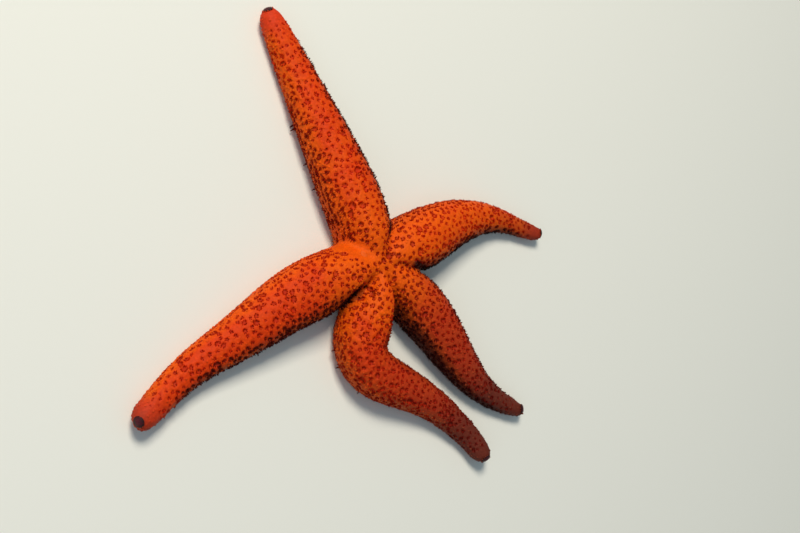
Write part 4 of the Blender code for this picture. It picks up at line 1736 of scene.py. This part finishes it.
@dataclass
class Eyespots:
    """A dark cushion of tiny eyes at the end of each arm, in a ring of short spines."""

    coat: PittedSkin
    radius: float = 1.95 * MM
    bulge: float = 0.66 * MM
    sunk: float = 0.28 * MM
    aim_from: float = 6 * MM         # where inside the arm the look up to the cushion starts
    aim_below: float = 0.4 * MM
    lifts: tuple[float, ...] = (15, 30, 30, 30, 18)  # degrees that each arm's cushion looks up
    eyes: int = 26
    eye_ring: float = 0.86           # of the cushion's radius, where the outermost eyes lie
    eye_radius: float = 0.2 * MM
    eye_height: float = 0.09 * MM
    guards: int = 13
    guard_ring: float = 1.12         # of the cushion's radius, where its spines stand
    guard_lean: float = 0.7          # how much they turn to the way that the cushion faces
    guard_girth: float = 0.2 * MM
    guard_length: float = 0.5 * MM
    guard_sizes: Span = (0.85, 1.15)
    guard_spread: float = 0.2        # of the step between them
    rings: tuple[int, int] = (14, 40)  # of points in a cushion, and how many in each
    eye_glow: float = 0.5            # how red the eyes' tops are,
    middle_glow: float = 0.35        # and the cushion's middle,
    middle_edge: Span = (0.85, 0.4)  # from its rim inwards
    seed: int = 51

    def place(self, arm: int) -> Matrix:
        """The frame of an arm's cushion on the skin, its +Z out of the body."""
        plan, smooth = self.coat.skin.plan, self.coat.skin.smooth
        start = plan.axis_place(arm, ARMS[arm].length - self.aim_from)
        low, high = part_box(f"eyespot_{arm + 1}")
        start.z = (low.z + high.z) / 2 - self.aim_below
        out = plan.outwards(arm, ARMS[arm].length)
        out.z = math.tan(math.radians(self.lifts[arm]))
        hit = smooth.ray_cast(start, out.normalized())[0]
        normal = smooth.find_nearest(hit)[1]
        return frame_on(hit, (normal + out.normalized()).normalized())

    def build(self, cushion: Finish) -> list[Piece]:
        """Make the five cushions."""
        return [polar_piece(f"eyespot_cushion_{k + 1}", self.place(k), self.radius, self.rings,
                            self._height, self._glow, cushion) for k in range(len(ARMS))]

    def build_guards(self, skin: Finish) -> Piece:
        """Make the rings of short spines round the cushions, as one piece."""
        rng = np.random.default_rng(self.seed)
        rings = [self._guards(self.place(k), rng) for k in range(len(ARMS))]
        return stand_parts("tip_spines", SPINE, join_roots(rings), skin, self.seed)

    def _bump(self, radius: float, angle: float) -> float:
        """How far the nearest eye lifts the cushion, from 0 to 1."""
        x, y = radius * math.cos(angle), radius * math.sin(angle)
        # The eyes are spread over the cushion like seeds in a flower head.
        eyes = ((self.radius * self.eye_ring * math.sqrt((i + 0.5) / self.eyes), GOLDEN_TURN * i)
                for i in range(self.eyes))
        gap = min(math.hypot(x - r * math.cos(a), y - r * math.sin(a)) for r, a in eyes)
        return max(0.0, 1 - (gap / self.eye_radius) ** 2)

    def _height(self, radius: float, angle: float) -> float:
        """Height of the cushion over the skin."""
        share = radius / self.radius
        return self.bulge * (1 - share ** 2) - self.sunk + self.eye_height * self._bump(radius, angle)

    def _glow(self, radius: float, angle: float) -> float:
        """Redder tops of the single eyes, and a redder middle than rim."""
        middle = smoothstep(*self.middle_edge, radius / self.radius)
        return self.eye_glow * self._bump(radius, angle) + self.middle_glow * middle

    def _guards(self, place: Matrix, rng: np.random.Generator) -> Roots:
        """Roots of the short spines round one cushion."""
        points, ways = [], []
        for i in range(self.guards):
            angle = 2 * math.pi * (i + rng.uniform(-self.guard_spread, self.guard_spread)) / self.guards
            side = Vector((math.cos(angle), math.sin(angle), 0.0))
            hit, normal, _, _ = self.coat.surface.find_nearest(place @ (side * self.radius * self.guard_ring))
            points.append(hit)
            ways.append((normal + place.to_3x3() @ Vector((0, 0, self.guard_lean))).normalized())
        size = rng.uniform(*self.guard_sizes, len(points))
        return self.coat.roots(np.array(points), np.array(ways), self.guard_girth * size,
                               self.guard_length * size, len(ARMS))


@dataclass
class Madreporite:
    """The sieve plate: a low limy dome with winding grooves from its middle to its rim."""

    coat: PittedSkin
    radius: float = 1.6 * MM
    bulge: float = 0.36 * MM
    sunk: float = 0.12 * MM
    groove_depth: float = 0.07 * MM
    grooves: int = 22
    winding: float = 2.2             # radians of a groove's wave that it wanders off its line
    dome_power: float = 2.4          # a higher one makes the dome flatter
    rings: tuple[int, int] = (18, 110)

    def build(self, plate: Finish) -> Piece:
        """Make the plate."""
        low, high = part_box("madreporite")
        hit, normal, _, _ = self.coat.skin.smooth.find_nearest((low + high) / 2 + Vector((0, 0, 2 * MM)))
        return polar_piece("sieve_plate", frame_on(hit, normal), self.radius, self.rings,
                           self._height, self._ridge, plate)

    def _ridge(self, radius: float, angle: float) -> float:
        """1 on a ridge and 0 in a groove."""
        share = radius / self.radius
        wander = 1.1 * math.sin(3 * angle + 5 * share) + 0.8 * math.sin(7 * share + 2 * angle)
        return 0.5 + 0.5 * math.cos(self.grooves * angle + self.winding * wander)

    def _height(self, radius: float, angle: float) -> float:
        """Height of the plate over the skin."""
        share = radius / self.radius
        dome = self.bulge * (1 - share ** self.dome_power) - self.sunk
        fade = min(1.0, share * 3) * min(1.0, (1 - share) * 6)
        return dome - self.groove_depth * fade * (1 - self._ridge(radius, angle))


@dataclass
class Mouth:
    """The mouth: a puckered membrane in the throat and spines on the five jaws."""

    coat: PittedSkin
    radius: float = 2.9 * MM
    folds: int = 15
    fold_height: float = 0.14 * MM
    opening: float = 0.55 * MM
    rings: tuple[int, int] = (20, 90)
    pale_from: float = 0.6           # of the radius, where the end colour starts
    lip_ring: float = 1.6            # of the opening
    lip_height: float = 0.35 * MM
    lip_width: float = 0.5 * MM
    pit_depth: float = 0.9 * MM
    below_roof: float = 0.25 * MM
    jaw_spines: int = 5
    spine_step: float = 8            # degrees between a jaw's spines
    spine_ring: float = 3.9 * MM
    spine_girth: float = 0.3 * MM
    spine_length: float = 1.5 * MM
    spine_sizes: Span = (0.85, 1.1)
    spine_dip: float = 0.55          # how far they point down
    jaw_height: float = 4 * MM       # no spine stands higher than this
    seed: int = 61

    def build(self, membrane: Finish, skin: Finish) -> tuple[Piece, Piece]:
        """Make the membrane and the jaw spines.

        Args:
            membrane: the membrane's finish.
            skin: the spines' finish.

        Returns:
            The membrane and the spines.
        """
        plan = self.coat.skin.plan
        centre = Vector((plan.centre[0], plan.centre[1], 0.0))
        middle = Vector((centre.x, centre.y, self.coat.roof(centre).z - self.below_roof))
        spines = stand_parts("jaw_spines", SPINE, self._spines(centre), skin, self.seed)
        downwards = Matrix.Translation(middle) @ Matrix.Rotation(math.pi, 4, "X")
        pale = self.radius * self.pale_from
        lining = polar_piece("mouth_membrane", downwards, self.radius, self.rings, self._height,
                             lambda radius, _: smoothstep(self.opening, pale, radius), membrane)
        return lining, spines

    def _height(self, radius: float, angle: float) -> float:
        """Height of the puckered membrane, its opening a pit in the middle."""
        lip = self.lip_height * math.exp(-((radius - self.lip_ring * self.opening) / self.lip_width) ** 2)
        pit = -self.pit_depth * max(0.0, 1 - radius / self.opening)
        fade = min(1.0, radius / self.opening)
        return lip + pit + self.fold_height * fade * math.cos(self.folds * angle)

    def _spines(self, centre: Vector) -> Roots:
        """Roots of the spines that point from the jaws over the mouth."""
        points, ways = [], []
        for k in range(len(ARMS)):
            jaw = (ARMS[k - 1].heading + ARMS[k].heading + (0 if k else -360)) / 2
            for j in range(self.jaw_spines):
                angle = math.radians(jaw + (j - (self.jaw_spines - 1) / 2) * self.spine_step)
                out = Vector((math.cos(angle), math.sin(angle), 0.0))
                hit = self.coat.roof(centre + out * self.spine_ring)
                if hit is not None and hit.z <= self.jaw_height:
                    points.append(hit)
                    ways.append((Vector((0, 0, -self.spine_dip)) - out).normalized())
        size = np.random.default_rng(self.seed).uniform(*self.spine_sizes, len(points))
        return self.coat.roots(np.array(points), np.array(ways), self.spine_girth * size,
                               self.spine_length * size, len(ARMS))


# ------ studio


@dataclass(frozen=True)
class Lamp:
    """A soft square lamp that looks at the star."""

    name: str
    place: tuple[float, float, float]
    size: float
    power: float
    colour: str


@dataclass(frozen=True)
class Studio:
    """A plain pale floor, soft lamps, and the camera high on the side of the second arm."""

    aim_from_disc: tuple[float, float, float] = (12.8 * MM, 0.55 * MM, 8.0 * MM)
    distance: float = 400 * MM
    off_vertical: float = 36.0    # degrees between the view and straight down
    heading: float = 10.0         # degrees from +X of the way that the camera looks
    lens: float = 50.0
    floor_radius: float = 4.0
    floor_colour: str = "E6EBEA"
    world_colour: str = "CFE4E8"
    world_strength: float = 0.26
    lamps: tuple[Lamp, ...] = (
        Lamp("key", (-0.36, 0.66, 1.02), 0.40, 15.0, "FFF1DC"),
        Lamp("fill", (-0.80, -0.25, 0.95), 1.2, 2.4, "E4EEFF"),
    )

    def build(self, centre: Array) -> None:
        """Set up the camera, the lamps, the world and the floor.

        Args:
            centre: the middle of the disc on the floor.
        """
        self._camera(centre)
        for lamp in self.lamps:
            self._lamp(lamp)
        self._world()
        self._floor()
        bpy.context.scene.view_settings.view_transform = "Standard"

    def _camera(self, centre: Array) -> None:
        """The camera, turned so that the way it looks along the floor runs to the right."""
        tilt, heading = math.radians(self.off_vertical), math.radians(self.heading)
        along = Vector((math.cos(heading), math.sin(heading), 0.0))
        up = Vector((0.0, 0.0, 1.0))
        view = along * math.sin(tilt) - up * math.cos(tilt)
        over = along * math.cos(tilt) + up * math.sin(tilt)
        across = along.cross(up)
        right = over * math.cos(heading) + across * math.sin(heading)
        top = over * math.sin(heading) - across * math.cos(heading)
        aim = Vector(self.aim_from_disc) + Vector((centre[0], centre[1], 0.0))
        camera = bpy.data.objects.new("camera", bpy.data.cameras.new("camera"))
        camera.data.lens = self.lens
        camera.data.clip_start = 0.01
        turn = Matrix((right, top, -view)).transposed().to_4x4()
        camera.matrix_world = Matrix.Translation(aim - view * self.distance) @ turn
        bpy.context.scene.collection.objects.link(camera)
        bpy.context.scene.camera = camera

    def _lamp(self, lamp: Lamp) -> None:
        """One area lamp, turned towards the star."""
        data = bpy.data.lights.new(lamp.name, "AREA")
        data.size = lamp.size
        data.energy = lamp.power
        data.color = linear_colour(lamp.colour)[:3]
        shine = bpy.data.objects.new(lamp.name, data)
        shine.location = lamp.place
        shine.rotation_euler = (-Vector(lamp.place)).to_track_quat("-Z", "Y").to_euler()
        bpy.context.scene.collection.objects.link(shine)

    def _world(self) -> None:
        """An even pale surround."""
        world = bpy.data.worlds.new("surround")
        world.use_nodes = True
        sky = world.node_tree.nodes["Background"]
        sky.inputs["Color"].default_value = linear_colour(self.world_colour)
        sky.inputs["Strength"].default_value = self.world_strength
        bpy.context.scene.world = world

    def _floor(self) -> None:
        """A round, plain, pale floor of matt paper."""
        shape = bmesh.new()
        bmesh.ops.create_circle(shape, cap_ends=True, segments=96, radius=self.floor_radius)
        mesh = bpy.data.meshes.new("floor")
        shape.to_mesh(mesh)
        shape.free()
        material, _, shader = new_finish("matt_studio_paper", 0.9)
        shader.inputs["Base Color"].default_value = linear_colour(self.floor_colour)
        mesh.materials.append(material)
        new_piece("floor", mesh)


# ------ the build


def settle(pieces: Sequence[Piece], replaced: Mapping[str, str] = {}) -> None:
    """Set finished pieces in the frame and log them.

    Args:
        pieces: the pieces.
        replaced: the solid that a piece stands for, by the piece's name.
    """
    for piece in pieces:
        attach(piece, BODY)
        if piece.name in replaced:
            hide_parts(replaced[piece.name])
        LOG.info("%s: %d triangles", piece.name, count_triangles(piece.data))


def main() -> None:
    """Build the star, piece by piece."""
    logging.basicConfig(level=logging.INFO, format="%(message)s")
    plan = StarPlan()
    coat = PittedSkin(Skin(plan, Markings()))
    LOG.info("pits: %d; skin: %d faces", len(coat.pits.long), len(coat.skin.piece.data.polygons))
    skin_finish = SeaStarSkin().build()
    finger_finish = TintedFlesh("gill_finger_flesh", root="CC2604", end="AC1803", specular=0.06,
                                mottle=2.4 * MM, unevenness=0.6).build()
    foot_finish = TintedFlesh("tube_foot_flesh", root="E9A768", end="F3D2A6").build()
    cushion_finish = TintedFlesh("eyespot_cushion", root="26070C", end="601626").build()
    plate_finish = TintedFlesh("limy_sieve_plate", root="D45202", end="E86008", roughness=0.6).build()
    membrane_finish = TintedFlesh("mouth_membrane", root="5A1A14", end="D98A5A").build()

    settle(Papulae(coat).build(finger_finish))
    settle(Spinelets(coat).build(skin_finish))
    settle(Underside(coat).build(foot_finish, skin_finish))
    eyespots = Eyespots(coat)
    settle(eyespots.build(cushion_finish),
           {f"eyespot_cushion_{k + 1}": f"eyespot_{k + 1}" for k in range(len(ARMS))})
    settle([Madreporite(coat).build(plate_finish)], {"sieve_plate": "madreporite"})
    membrane, jaw_spines = Mouth(coat).build(membrane_finish, skin_finish)
    settle([membrane], {"mouth_membrane": "mouth"})
    settle([eyespots.build_guards(skin_finish), jaw_spines])
    skin = coat.dress(skin_finish)
    LOG.info("%s: %d triangles", skin.name, count_triangles(skin.data))
    Studio().build(plan.centre)


if __name__ == "__main__":
    main()
